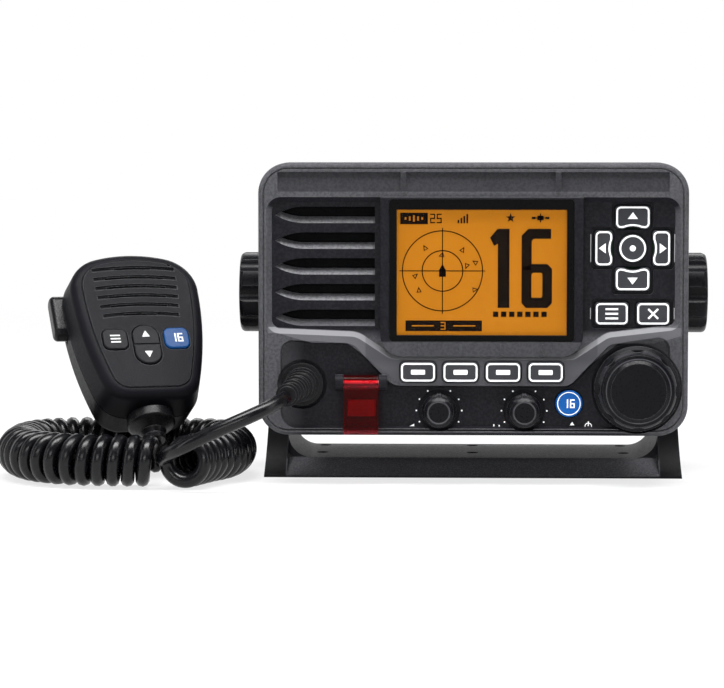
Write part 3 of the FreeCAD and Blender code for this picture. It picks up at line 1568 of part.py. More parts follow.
def handset_shells():
    front = handset_body("handset_front")
    slab = Drawing(front, "XZ")
    egg(slab)
    pad(slab, d.handset_front_depth, towards=-1, taper=-float(d.handset_draft))
    face = -d.handset_front_depth
    dress(front, "Fillet", d.handset_front_round, at_depth(face))
    hollow = Drawing(front, "XZ")
    egg(hollow, d.handset_wall)
    pocket(hollow, d.handset_front_depth - d.handset_wall - d.face_plate_depth, towards=-1,
           taper=-float(d.handset_draft))
    posts = Drawing(front, "XZ", d.handset_board_front)
    for across in (-d.board_post_across, d.board_post_across):
        posts.circle((across, d.board_post_up), d.board_post_diameter)
    pad(posts, d.handset_front_depth - d.handset_wall + d.handset_board_front, towards=-1)
    recess = Drawing(front, "XZ", face)
    egg(recess, d.face_plate_inset)
    pocket(recess, d.face_plate_depth)
    sound = Drawing(front, "XZ", face)
    sound.circle((0, d.handset_sound_up), d.handset_speaker_diameter - d.handset_speaker_rim * 2)
    pocket(sound, d.handset_front_depth)
    for middle, width, height in handset_keys().values():
        hole = Drawing(front, "XZ", face)
        centred(hole, middle, width + d.key_gap * 2, height + d.key_gap * 2,
                d.handset_key_corner + d.key_gap)
        pocket(hole, d.handset_front_depth)
    rocker = Drawing(front, "XZ", face)
    centred(rocker, (0, d.rocker_row), d.rocker_width + d.key_gap * 2,
            d.rocker_height + d.rocker_gap * 2, d.rocker_corner + d.key_gap)
    pocket(rocker, d.handset_front_depth)

    rear = handset_body("handset_rear")
    seam = d.handset_gasket_thickness
    back = Drawing(rear, "XZ", seam)
    egg(back)
    pad(back, d.handset_rear_depth, taper=-float(d.handset_draft))
    dress(rear, "Fillet", d.handset_rear_round, at_depth(seam + d.handset_rear_depth))
    inside = Drawing(rear, "XZ", seam)
    egg(inside, d.handset_wall)
    pocket(inside, d.handset_rear_depth - d.handset_wall, taper=-float(d.handset_draft))
    slot = Drawing(rear, "YZ", -d.handset_width / 2 - d.handset_wall)
    centred(slot, (d.talk_deep, d.talk_up), d.talk_thickness + d.key_gap * 2,
            d.talk_height + d.key_gap * 2)
    pocket(slot, d.handset_wall * 4, towards=1)
    for body in (front, rear):
        cut_neck(body)
    hang = Drawing(rear, "XZ", seam + d.handset_rear_depth)
    hang.circle((0, d.hang_up), d.hang_neck)
    pocket(hang, d.handset_wall * 2, towards=-1)
    screws = Drawing(rear, "XZ", seam + d.handset_rear_depth)
    for place in handset_screw_places():
        screws.circle(place, d.screw_head + d.face_gap * 2)
    pocket(screws, d.handset_wall - d.handset_screw_floor, towards=-1)


def handset_screw_places():
    return [(across * side, up) for across, up in
            ((d.handset_screw_top_across, d.handset_screw_top),
             (d.handset_screw_foot_across, d.handset_screw_foot)) for side in (-1, 1)]


def handset_gasket():
    body = handset_body("handset_gasket")
    ring = Drawing(body, "XZ")
    egg(ring, d.gasket_inset)
    egg(ring, d.handset_wall)
    pad(ring, d.handset_gasket_thickness)
    cut_neck(body)


def bowed_slot(drawing, up, half, bow, tall, depth):
    """Cuts a slot whose long edges are arcs that rise by bow in the middle."""
    drawing.outline((half, up), ((0, up + bow), (-half, up)), (-half, up + tall),
                    ((0, up + bow + tall), (half, up + tall)))
    pocket(drawing, depth)


def handset_face():
    """The slotted front plate; each slot bows upward and is cut through in its middle."""
    body = handset_body("handset_face")
    back = d.face_plate_depth - d.handset_front_depth
    plate = Drawing(body, "XZ", back)
    egg(plate, d.face_plate_inset + d.face_plate_gap)
    pad(plate, d.face_plate_depth + d.face_plate_proud, towards=-1)
    face = back - d.face_plate_depth - d.face_plate_proud
    dress(body, "Chamfer", d.face_plate_chamfer, at_depth(face))
    last = int(float(d.slot_count)) - 1
    for number in range(last + 1):
        up = d.slot_top - d.slot_pitch * number
        half = (d.slot_length - d.slot_narrowing * (number / last) ** 2) / 2
        bowed_slot(Drawing(body, "XZ", face), up, half, d.slot_bow, d.slot_height, d.slot_depth)
        share = d.slot_end_share if number in (0, last) else d.slot_share
        reach = half * float(share)
        rise = d.slot_bow * (1 - float(share) ** 2)
        bowed_slot(Drawing(body, "XZ", face), up + rise + d.slot_margin, reach,
                   d.slot_bow - rise, d.slot_height - d.slot_margin * 2, d.handset_front_depth)
    for middle, width, height in handset_keys().values():
        hole = Drawing(body, "XZ", -d.handset_front_depth * 2)
        centred(hole, middle, width + d.key_gap * 2, height + d.key_gap * 2,
                d.handset_key_corner + d.key_gap)
        pocket(hole, d.handset_front_depth * 2)
    holes = Drawing(body, "XZ", -d.handset_front_depth * 2)
    centred(holes, (0, d.rocker_row), d.rocker_width + d.key_gap * 2,
            d.rocker_height + d.rocker_gap * 2, d.rocker_corner + d.key_gap)
    holes.circle((d.microphone_across, d.microphone_up), d.microphone_hole)
    pocket(holes, d.handset_front_depth * 2)


def handset_controls():
    front = -d.handset_front_depth - d.handset_key_proud
    behind = d.handset_wall + d.face_plate_depth - d.handset_front_depth + d.key_gap
    for label, (middle, width, height) in handset_keys().items():
        body = handset_body(label)
        cap = Drawing(body, "XZ", front)
        centred(cap, middle, width, height, d.handset_key_corner)
        pad(cap, behind - front)
        dress(body, "Fillet", d.key_edge, at_depth(front))
        flange = Drawing(body, "XZ", behind)
        centred(flange, middle, width + d.key_flange, height + d.key_flange, d.handset_key_corner)
        pad(flange, d.handset_board_front - d.handset_key_travel - d.key_gap - behind)
    body = handset_body("handset_rocker")
    cap = Drawing(body, "XZ", front)
    centred(cap, (0, d.rocker_row), d.rocker_width, d.rocker_height, d.rocker_corner)
    pad(cap, behind - front + d.key_travel)
    dress(body, "Fillet", d.key_edge, at_depth(front))
    split = Drawing(body, "XZ", front)
    centred(split, (0, d.rocker_row), d.rocker_width + d.overcut, d.rocker_split)
    pocket(split, d.rocker_split_depth)
    board = handset_body("handset_board")
    sheet = Drawing(board, "XZ", d.handset_board_front)
    low = d.rocker_row - d.rocker_height / 2
    half_width = d.handset_key_side + d.handset_board_margin
    sheet.box(-half_width, low, half_width, d.handset_key_row + d.handset_key_height)
    pad(sheet, d.board_thickness)
    talk = handset_body("talk_button")
    bar = Drawing(talk, "YZ", -d.handset_width / 2 - d.talk_proud)
    bar.box(d.talk_deep - d.talk_thickness / 2, d.talk_up - d.talk_height / 2,
            d.talk_deep + d.talk_thickness / 2, d.talk_up + d.talk_height / 2, d.talk_corner)
    pad(bar, d.talk_proud + d.handset_wall * 2 + d.overcut)
    dress(talk, "Fillet", d.talk_round,
          lambda edge: edge.BoundBox.XMax < float(-d.handset_width / 2 - d.talk_proud) + 1e-4)


def handset_inside():
    speaker = handset_body("handset_speaker")
    disc_front = d.handset_wall + d.face_plate_depth - d.handset_front_depth
    cone = Drawing(speaker, "XZ", disc_front)
    cone.circle((0, d.handset_sound_up), d.handset_speaker_diameter)
    pad(cone, d.handset_speaker_rim)
    magnet = Drawing(speaker, "XZ", disc_front)
    magnet.circle((0, d.handset_sound_up), d.handset_speaker_diameter / 2)
    pad(magnet, d.handset_speaker_depth)
    button = handset_body("hang_button")
    base = d.handset_gasket_thickness + d.handset_rear_depth
    neck = Drawing(button, "XZ", base - d.handset_wall)
    neck.circle((0, d.hang_up), d.hang_neck)
    pad(neck, d.handset_wall + d.hang_stand)
    head = Drawing(button, "XZ", base + d.hang_stand - d.hang_head_height)
    head.circle((0, d.hang_up), d.hang_head)
    pad(head, d.hang_head_height)
    dress(button, "Chamfer", d.hang_chamfer, at_depth(base + d.hang_stand))
    screws = handset_body("handset_screws")
    seat = base - d.handset_wall + d.handset_screw_floor
    heads = Drawing(screws, "XZ", seat)
    for place in handset_screw_places():
        heads.circle(place, d.screw_head)
    pad(heads, d.handset_wall - d.handset_screw_floor - d.key_gap)
    boot = handset_body("handset_boot")
    side = Drawing(boot, "XZ")
    neck_radius = d.boot_neck / 2
    collar = d.boot_collar / 2
    tip = d.boot_tip / 2
    top = d.handset_foot + d.handset_wall
    ring = d.boot_ring
    step = d.boot_step
    swell = tip + d.boot_waist_proud
    waist = d.boot_waist + ring
    under = d.handset_foot - d.key_gap
    side.outline((tip, 0), (tip + d.boot_ring_proud, ring), (tip, d.boot_waist), (swell, waist),
                 (swell - step, waist + step), (collar - d.boot_chamfer, d.boot_shoulder),
                 (collar, d.boot_shoulder + d.boot_chamfer), (collar, under),
                 (neck_radius, under), (neck_radius, top), (0, top), (0, 0))
    turn(side)


# ---------------------------------------------------------------- cord
def tube(label, route, diameter):
    """A round cord of straight runs joined by tangent arcs, as large as the runs allow."""
    spots = [Vector(*point) for point in route]
    edges = []
    start = spots[0]
    tightest = None
    for before, corner, after in zip(spots, spots[1:], spots[2:]):
        into = (corner - before).normalize()
        out = (after - corner).normalize()
        turned = into.getAngle(out)
        shorter = min(before.distanceToPoint(corner), corner.distanceToPoint(after))
        cut = 0.45 * shorter
        radius = cut / math.tan(turned / 2)
        tightest = radius if tightest is None else min(tightest, radius)
        first = corner - into * cut
        last = corner + out * cut
        bisector = (out - into).normalize()
        centre = corner + bisector * (radius / math.cos(turned / 2))
        edges.append(Part.LineSegment(start, first).toShape())
        edges.append(Part.Arc(first, centre + (corner - centre).normalize() * radius,
                              last).toShape())
        start = last
    edges.append(Part.LineSegment(start, spots[-1]).toShape())
    spine = Part.Wire(edges)
    ring = Part.Circle(spots[0], spots[1] - spots[0], float(diameter) / 2).toShape()
    shape = spine.makePipeShell([Part.Wire([ring])], True, False)
    section = math.pi * float(diameter) ** 2 / 4
    print(f"{label}: length {spine.Length:.1f}, tightest radius {tightest:.1f}, "
          f"volume over section times length {shape.Volume / (section * spine.Length):.4f}")
    item = DOC.addObject("Part::Feature", label)
    item.Label = label
    item.Shape = shape
    PARTS.append(item)


def handset():
    handset_shells()
    handset_gasket()
    handset_face()
    handset_controls()
    handset_inside()


def cords():
    tube("mic_lead", LEAD_ROUTE, d.cord_diameter)
    tube("coil_main", COIL_ROUTE, d.coil_diameter)
    tube("coil_rising_end", RISING_ROUTE, d.coil_diameter)
    tube("handset_tail", TAIL_ROUTE, d.cord_diameter)


LEAD_ROUTE = [(-75.9, -98.25, 37.9), (-79.5, -106.5, 35.5), (-91.0, -112.0, 30.5),
              (-106.0, -112.5, 24.0), (-118.5, -109.5, 17.5), (-125.9, -98.2, 13.4)]
COIL_ROUTE = [(-117.0, -98.0, 11.3), (-112.0, -82.0, 11.3), (-102.5, -62.0, 11.3),
              (-101.0, -40.0, 11.3), (-108.0, -22.0, 11.3), (-125.0, -17.0, 11.3),
              (-146.0, -21.0, 11.3), (-166.0, -14.0, 11.3), (-183.0, -22.0, 11.3),
              (-189.0, -38.0, 11.3), (-189.0, -46.0, 11.3)]
RISING_ROUTE = [(-189.0, -46.3, 11.3), (-189.0, -60.0, 11.3), (-177.0, -82.0, 11.3),
                (-154.0, -93.0, 11.3), (-129.5, -92.0, 11.3)]
TAIL_ROUTE = [(-131.87, -66.35, 16.03), (-131.2, -71.5, 10.2), (-131.0, -80.6, 9.2)]


# ---------------------------------------------------------------- build, check and write
def check():
    """Stop if a feature failed or a sub-part has no sound shape."""
    DOC.recompute()
    failed = [item.Name for item in DOC.Objects if {"Invalid", "Error"} & set(item.State)]
    if failed:
        raise RuntimeError(f"features that failed: {failed}")
    for part in PARTS:
        if part.Shape.isNull() or not part.Shape.isValid():
            raise RuntimeError(f"{part.Label} has no sound shape")


def write():
    os.makedirs("parts", exist_ok=True)
    for part in PARTS:
        part.Shape.exportStep(f"parts/{part.Label}.step")


transceiver()
stand()
handset()
cords()
check()
write()
print(f"{len(PARTS)} sub-parts written")
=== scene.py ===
"""Looks of the VHF marine radio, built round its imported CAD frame.

Materials, camera, stage and lights are in metres, marks and cord routes in millimetres.
"""
import bpy
import bmesh
import json
import math
from mathutils import Matrix, Vector


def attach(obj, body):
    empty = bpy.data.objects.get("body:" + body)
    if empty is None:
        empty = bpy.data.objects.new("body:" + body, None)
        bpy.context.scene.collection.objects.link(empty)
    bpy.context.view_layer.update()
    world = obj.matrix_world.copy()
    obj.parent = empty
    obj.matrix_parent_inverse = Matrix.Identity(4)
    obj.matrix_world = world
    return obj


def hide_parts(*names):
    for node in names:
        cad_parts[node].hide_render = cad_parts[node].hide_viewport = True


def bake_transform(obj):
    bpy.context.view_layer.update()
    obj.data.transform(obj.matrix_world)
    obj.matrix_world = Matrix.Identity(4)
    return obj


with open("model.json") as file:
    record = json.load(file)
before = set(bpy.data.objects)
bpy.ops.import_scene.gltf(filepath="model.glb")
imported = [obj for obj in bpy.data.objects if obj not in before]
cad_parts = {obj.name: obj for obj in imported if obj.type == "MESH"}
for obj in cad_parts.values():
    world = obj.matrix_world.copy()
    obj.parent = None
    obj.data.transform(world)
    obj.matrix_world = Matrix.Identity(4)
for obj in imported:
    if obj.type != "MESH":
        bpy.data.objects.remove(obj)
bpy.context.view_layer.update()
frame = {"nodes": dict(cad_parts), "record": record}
NODES = frame["nodes"]
SLOTS = {part["node"]: part["material_slot"] for part in frame["record"]["subparts"]}
MM = 0.001


# ---------------------------------------------------------------- camera
CAMERA_PLACE = (0.0, -1.3779, 0.150)
CAMERA_DIP, CAMERA_TURN = 4.04, 2.0
CAMERA_LENS = 158.2


def add_camera():
    """The photograph's view: slightly from above, a little turned to the left."""
    data = bpy.data.cameras.new("camera")
    data.sensor_width = 36.0
    data.lens = CAMERA_LENS
    data.clip_start = 0.05
    data.clip_end = 50.0
    camera = bpy.data.objects.new("camera", data)
    camera.location = CAMERA_PLACE
    camera.rotation_euler = (math.radians(90 - CAMERA_DIP), 0.0, math.radians(CAMERA_TURN))
    bpy.context.scene.collection.objects.link(camera)
    bpy.context.scene.camera = camera


# ---------------------------------------------------------------- materials
class Nodes:
    """Short names for building one material's node tree."""

    def __init__(self, name):
        self.name = name
        self.material = bpy.data.materials.new(name)
        self.material.use_nodes = True
        self.tree = self.material.node_tree
        self.tree.nodes.clear()
        self.output = self.tree.nodes.new("ShaderNodeOutputMaterial")
        self.shader = self.tree.nodes.new("ShaderNodeBsdfPrincipled")
        self.link(self.shader.outputs[0], self.output.inputs["Surface"])
        self.place = self.tree.nodes.new("ShaderNodeTexCoord").outputs["Object"]

    def link(self, source, target):
        self.tree.links.new(source, target)

    def give(self, **values):
        """Links sockets to the shader's inputs, or sets them; spaces are written as _."""
        for name, value in values.items():
            socket = self.shader.inputs[name.replace("_", " ")]
            if isinstance(value, (int, float, tuple)):
                socket.default_value = value
            else:
                self.link(value, socket)

    def noise(self, size, detail):
        """Noise whose grains are about size metres across."""
        node = self.tree.nodes.new("ShaderNodeTexNoise")
        node.inputs["Scale"].default_value = 1.0 / size
        node.inputs["Detail"].default_value = detail
        node.inputs["Roughness"].default_value = 0.55
        self.link(self.place, node.inputs["Vector"])
        return node.outputs["Fac"]

    def cells(self, size):
        """Rounded cells of about size metres, as in moulded texture."""
        node = self.tree.nodes.new("ShaderNodeTexVoronoi")
        node.feature = "SMOOTH_F1"
        node.inputs["Scale"].default_value = 1.0 / size
        node.inputs["Smoothness"].default_value = 0.6
        self.link(self.place, node.inputs["Vector"])
        return node.outputs["Distance"]

    def spread(self, value, low, high, start=0.3, end=0.7):
        """A value that runs from start to end, carried over to run from low to high."""
        node = self.tree.nodes.new("ShaderNodeMapRange")
        self.link(value, node.inputs["Value"])
        for name, number in (("From Min", start), ("From Max", end),
                             ("To Min", low), ("To Max", high)):
            node.inputs[name].default_value = number
        return node.outputs[0]

    def calc(self, kind, *values):
        """The result of one Math node on sockets and plain numbers."""
        node = self.tree.nodes.new("ShaderNodeMath")
        node.operation = kind
        for socket, value in zip(node.inputs, values):
            if isinstance(value, (int, float)):
                socket.default_value = value
            else:
                self.link(value, socket)
        return node.outputs[0]

    def chain(self, kind, values):
        result = values[0]
        for value in values[1:]:
            result = self.calc(kind, result, value)
        return result

    def product(self, *values):
        return self.chain("MULTIPLY", values)

    def largest(self, *values):
        return self.chain("MAXIMUM", values)

    def inverse(self, value):
        return self.calc("SUBTRACT", 1.0, value)

    def apart(self, first, second):
        """How far apart two values are."""
        return self.calc("ABSOLUTE", self.calc("SUBTRACT", first, second))

    def blend(self, share, first, second):
        """Colour between first and second."""
        node = self.tree.nodes.new("ShaderNodeMix")
        node.data_type = "RGBA"
        self.link(share, node.inputs["Factor"])
        for socket, value in ((node.inputs["A"], first), (node.inputs["B"], second)):
            if isinstance(value, tuple):
                socket.default_value = (*value, 1.0)
            else:
                self.link(value, socket)
        return node.outputs["Result"]

    def worn_and_lit_edges(self, radius):
        """How far the surface turns within radius: 0 on a flat, near 1 on a sharp edge."""
        bevel = self.tree.nodes.new("ShaderNodeBevel")
        bevel.samples = 6
        bevel.inputs["Radius"].default_value = radius
        normal = self.tree.nodes.new("ShaderNodeNewGeometry").outputs["Normal"]
        dot = self.tree.nodes.new("ShaderNodeVectorMath")
        dot.operation = "DOT_PRODUCT"
        self.link(bevel.outputs[0], dot.inputs[0])
        self.link(normal, dot.inputs[1])
        self.bevel = bevel.outputs[0]
        return self.spread(dot.outputs["Value"], 1.0, 0.0, 0.72, 0.98)

    def relief(self, height, depth):
        """Normals of a height map of this depth, laid over the bevel's rounded edges."""
        node = self.tree.nodes.new("ShaderNodeBump")
        node.inputs["Distance"].default_value = depth
        node.inputs["Strength"].default_value = 0.6
        self.link(height, node.inputs["Height"])
        self.link(self.bevel, node.inputs["Normal"])
        return node.outputs[0]

    def axis(self, name):
        """One coordinate of the place, in metres."""
        split = self.tree.nodes.new("ShaderNodeSeparateXYZ")
        self.link(self.place, split.inputs[0])
        return split.outputs[name]

    def past(self, axis, low, high):
        """1 where a coordinate is above high, 0 below low."""
        return self.spread(self.axis(axis), 0.0, 1.0, low, high)

    def before(self, axis, low, high):
        """1 where a coordinate is below low, 0 above high."""
        return self.inverse(self.past(axis, low, high))

    def between(self, axis, low, high, soft=0.0003):
        """1 where a coordinate lies between low and high."""
        return self.product(self.past(axis, low - soft, low + soft),
                            self.before(axis, high - soft, high + soft))

    def box(self, x=None, y=None, z=None):
        """1 inside these ranges; each is low, high and, where it isn't between's, softness."""
        return self.product(*(self.between(axis, *limits)
                              for axis, limits in zip("XYZ", (x, y, z)) if limits))

    def facing(self, axis, low, high):
        """From 0 to 1 as the surface's direction along axis goes from low to high."""
        coordinates = self.tree.nodes.new("ShaderNodeTexCoord")
        split = self.tree.nodes.new("ShaderNodeSeparateXYZ")
        self.link(coordinates.outputs["Normal"], split.inputs[0])
        return self.spread(split.outputs[axis], 0.0, 1.0, low, high)


MOTTLE_SIZE, MOTTLE_DARK = 0.02, 0.78


def moulded(name, colour, worn_and_lit, rough, grain, depth, shine=0.12, edge=0.0004, metal=0.0,
            glow=0.0):
    """Moulded or painted surface: grain, faint mottling, and lighter edges,
    which are rubbed wear and painted highlight together.

    grain is the size of the texture, depth its relief and edge the reach of the lighter edges.
    """
    mat = Nodes(name)
    mottle = mat.noise(MOTTLE_SIZE, 4.0)
    fine = mat.noise(grain * 3.0, 5.0)
    darker = tuple(channel * MOTTLE_DARK for channel in colour)
    base = mat.blend(mat.spread(mottle, 0.0, 1.0), darker, colour)
    # lighter edges: rubbed wear together with a painted highlight along them
    scuffed_and_lit = mat.product(mat.worn_and_lit_edges(edge), mat.spread(fine, 0.25, 1.0))
    mat.base = mat.blend(scuffed_and_lit, base, worn_and_lit)
    height = mat.calc("ADD", mat.cells(grain), mat.noise(grain * 0.6, 2.0))
    mat.give(Metallic=metal, Specular_IOR_Level=shine, Base_Color=mat.base,
             Roughness=mat.spread(fine, rough - 0.07, rough + 0.09),
             Normal=mat.relief(height, depth))
    if glow:
        mat.give(Emission_Color=mat.base, Emission_Strength=glow)
    return mat


# black of the recesses and the display's frame, also used as painted shade under the recesses'
# roofs
SMOOTH_BLACK_AND_SHADE = (0.007, 0.007, 0.0095)
PIT_BLACK = (0.02, 0.02, 0.024)
# painted highlight and shade of the band: lighter at its ends, dimmer in its middle
BAND_HIGHLIGHT = (0.115, 0.115, 0.125)
BAND_DIM = (0.07, 0.07, 0.077)
# painted highlight colour of upward faces, louvre lips and the housing's edges
LIP_HIGHLIGHT = (0.2, 0.2, 0.21)
BAND_Y = (-0.0781, -0.0756, 0.00005)
DISPLAY_X = (-0.0440, 0.0510)
DISPLAY_Y = (-0.0790, -0.0754, 0.0001)


def front_material():
    """Grey textured housing with its black recesses and display surround, painted highlights
    on its band, its upward faces and its louvres' lips, and painted shade under its roofs.
    """
    mat = moulded("front_housing", (0.085, 0.085, 0.093), LIP_HIGHLIGHT, 0.5, 0.0003, 0.00009,
                  shine=0.1)
    front = mat.inverse(mat.facing("Y", -0.99, -0.93))
    up = mat.facing("Z", 0.1, 0.4)
    not_down = mat.facing("Z", -0.4, -0.1)
    height = mat.axis("Z")
    aside = mat.apart(mat.axis("X"), 0.004)

    # the band dips under the display and rises beside it, and once more at its ends;
    # its lighter colour is a painted highlight
    under_band = mat.calc("ADD", mat.spread(aside, 0.0409, 0.0585, 0.0325, 0.0555),
                          mat.spread(aside, 0.0, 0.0040, 0.070, 0.084))
    over_band = mat.spread(aside, 0.0542, 0.0650, 0.0335, 0.0545)
    raised = mat.product(mat.calc("GREATER_THAN", height, under_band),
                         mat.calc("LESS_THAN", height, over_band),
                         mat.box(x=(-0.0840, 0.0850), y=BAND_Y),
                         mat.largest(mat.inverse(front), mat.before("Y", -0.0777, -0.0775)))
    # painted highlight: the band lighter towards its ends
    band = mat.blend(mat.spread(aside, 0.0, 1.0, 0.035, 0.060), BAND_DIM, BAND_HIGHLIGHT)

    # the lower recess, less dark at its two ends, and the floor of the upper one
    sunk = mat.product(mat.calc("LESS_THAN", height, under_band), mat.past("Z", 0.0196, 0.0202),
                       mat.box(x=(-0.0793, 0.0809), y=(-0.0778, -0.0700, 0.00005)))
    ends = mat.largest(mat.before("X", -0.082, -0.069), mat.past("X", 0.060, 0.084))
    sunk = mat.product(sunk, mat.spread(ends, 1.0, 0.1, 0.0, 1.0))
    upper = mat.product(front, mat.past("Y", -0.0766, -0.0762), mat.past("Z", 0.060, 0.064))

    # the display's frame: its front, its sides and the sill under it
    around = mat.product(front, mat.box((-0.0382, 0.0453), (-0.0790, -0.0782, 0.0001),
                                        (0.0590, 0.1180)))
    sides = mat.product(mat.box(DISPLAY_X, DISPLAY_Y, (0.0630, 0.1183, 0.002)), 0.65)
    sill = mat.product(mat.box(DISPLAY_X, DISPLAY_Y, (0.0500, 0.0630, 0.002)), 0.3)

    # painted shade on the undersides in the recesses, the cover's lugs, and a painted highlight
    # on the louvres' upper lips
    shaded_roof = mat.product(mat.inverse(not_down), mat.box(x=(-0.0852, 0.0852), z=(0.0660, 0.1190)),
                       mat.past("Y", -0.0778, -0.0776))
    lugs = mat.box(y=(-0.0900, -0.0795, 0.0005))
    lit_lips = mat.product(up, mat.box(x=(-0.0790, -0.0410), z=(0.0680, 0.1180)),
                       mat.before("Y", -0.0753, -0.0735))

    shade = mat.blend(raised, mat.base, band)
    # painted highlight on the band's upward faces and on the louvres' upper lips
    for mask in (mat.product(up, raised), lit_lips):
        shade = mat.blend(mask, shade, LIP_HIGHLIGHT)
    # black faces, and painted shade on the undersides in the recesses
    for mask in (sunk, upper, around, sides, sill, shaded_roof, lugs):
        shade = mat.blend(mask, shade, SMOOTH_BLACK_AND_SHADE)
    pits = mat.product(mat.spread(mat.noise(0.0011, 2.0), 0.0, 1.0, 0.42, 0.62), 0.4,
                       mat.inverse(raised))
    shade = mat.blend(pits, shade, PIT_BLACK)
    brow = mat.product(mat.box(x=(-0.080, 0.080), z=(0.1205, 0.1285)), 0.6)
    mat.give(Base_Color=mat.blend(brow, shade, SMOOTH_BLACK_AND_SHADE))
    return mat


BRACKET_INNER_X = (-0.0785, 0.0785)


def bracket_material():
    """Black coated metal, with painted light on its front ramp and painted shade on its arms."""
    mat = moulded("bracket_metal", (0.012, 0.012, 0.015), (0.07, 0.07, 0.08), 0.5, 0.0004, 0.00008,
                  shine=0.15, edge=0.0006)
    speckle = mat.spread(mat.noise(0.0006, 2.0), 0.45, 1.0, 0.4, 0.65)
    # painted light: the front ramp lighter, with a coarse speckle
    ramp_painted_light = mat.product(mat.box(BRACKET_INNER_X, (-0.0515, -0.0356), (-0.001, 0.0072)),
                       mat.past("Z", 0.0006, 0.0012), speckle)
    # painted shade: the arms near black
    arms_painted_shade = mat.inverse(mat.between("X", *BRACKET_INNER_X))
    shade = mat.blend(ramp_painted_light, mat.base, (0.15, 0.15, 0.165))
    mat.give(Base_Color=mat.blend(arms_painted_shade, shade, (0.002, 0.002, 0.003)))
    return mat


DIAL_SPOT = (0.0672, 0.0400)
KNOB_SPOTS = ((-0.0138, 0.0307), (0.0211, 0.0307))
KNOBS_Y = (-0.1100, -0.0800, 0.0003)


def ring_mask(mat, spot, radius, width):
    """1 on a thin ring round a spot (across, up) of the front."""
    right = mat.calc("SUBTRACT", mat.axis("X"), spot[0])
    rise = mat.calc("SUBTRACT", mat.axis("Z"), spot[1])
    reach = mat.calc("SQRT", mat.calc("ADD", mat.product(right, right),
                                      mat.product(rise, rise)))
    return mat.spread(mat.apart(reach, radius), 1.0, 0.0, width * 0.4, width * 1.2)


def pointer_mask(mat, across):
    """1 along the edges of a small knob's pointer, less between them."""
    aside = mat.apart(mat.axis("X"), across)
    half = mat.spread(mat.axis("Z"), 0.0040, 0.0, 0.0355, 0.0384)
    edge = mat.spread(mat.apart(aside, half), 1.0, 0.0, 0.0002, 0.0006)
    inside = mat.product(mat.calc("LESS_THAN", aside, half), 0.3)
    return mat.product(mat.largest(edge, inside), mat.between("Z", 0.0352, 0.0400))


def knob_material():
    """Black plastic of the knobs and the dial, with painted highlights in rings round their faces
    and along the small knobs' pointers.
    """
    mat = moulded("knob_plastic", (0.0035, 0.0035, 0.005), (0.2, 0.2, 0.215), 0.3, 0.0003, 0.00002,
                  shine=0.12, edge=0.0005)
    # painted highlights: thin rings round the dial and knob faces, and the edges of the pointers
    ring_highlights = [ring_mask(mat, DIAL_SPOT, 0.0131, 0.00025),
             mat.product(ring_mask(mat, DIAL_SPOT, 0.0156, 0.0005), 0.5)]
    ring_highlights += [ring_mask(mat, spot, 0.0044, 0.0003) for spot in KNOB_SPOTS]
    pointer_highlights = [pointer_mask(mat, across) for across, _ in KNOB_SPOTS]
    lit = mat.product(mat.largest(*ring_highlights, *pointer_highlights), mat.between("Y", *KNOBS_Y),
                      mat.spread(mat.noise(0.008, 1.0), 0.45, 1.0))
    mat.give(Base_Color=mat.blend(lit, mat.base, (0.075, 0.075, 0.082)))
    return mat


def handset_material(name, **look):
    """Plastic of the handset, with painted shade that darkens it towards its foot."""
    mat = moulded(name, **look)
    # painted shade: darker towards the foot
    low = mat.product(mat.before("Z", 0.026, 0.042), mat.before("X", -0.102, -0.100), 0.85)
    mat.give(Base_Color=mat.blend(low, mat.base, (0.001, 0.001, 0.0015)))
    return mat


def screen_material():
    """Amber back light, a little uneven, with the pixel grid just felt."""
    mat = Nodes("screen")
    amber = mat.blend(mat.spread(mat.noise(0.05, 1.0), 0.0, 1.0), (0.43, 0.150, 0.004),
                      (0.47, 0.166, 0.006))
    mat.give(Base_Color=amber, Emission_Color=amber, Emission_Strength=0.36,
             Specular_IOR_Level=0.1, Roughness=mat.spread(mat.noise(0.0004, 2.0), 0.5, 0.62))
    return mat


def glass_material():
    """Clear window with faint smears."""
    mat = Nodes("window_glass")
    mat.give(Base_Color=(0.004, 0.004, 0.005, 1.0), Alpha=0.1, Specular_IOR_Level=0.08,
             Roughness=mat.spread(mat.noise(0.012, 3.0), 0.03, 0.09))
    mat.material.surface_render_method = "BLENDED"
    return mat


def red_material():
    """Clear red plastic of the distress cover, with a painted highlight in its roll and lip."""
    mat = Nodes("red_cover")
    body = mat.blend(mat.spread(mat.noise(0.01, 3.0), 0.0, 1.0), (0.3, 0.001, 0.003),
                     (0.35, 0.0015, 0.004))
    # painted highlight: light pink in the roll at the top and the lip at the bottom
    roll_and_lip_highlight = mat.largest(mat.between("Z", 0.0404, 0.0434, 0.0004),
                        mat.between("Z", 0.0200, 0.0228, 0.0003))
    mat.give(Base_Color=mat.blend(roll_and_lip_highlight, body, (1.0, 0.13, 0.17)), Transmission_Weight=0.95,
             IOR=1.15, Roughness=mat.spread(mat.noise(0.002, 2.0), 0.04, 0.1))
    return mat


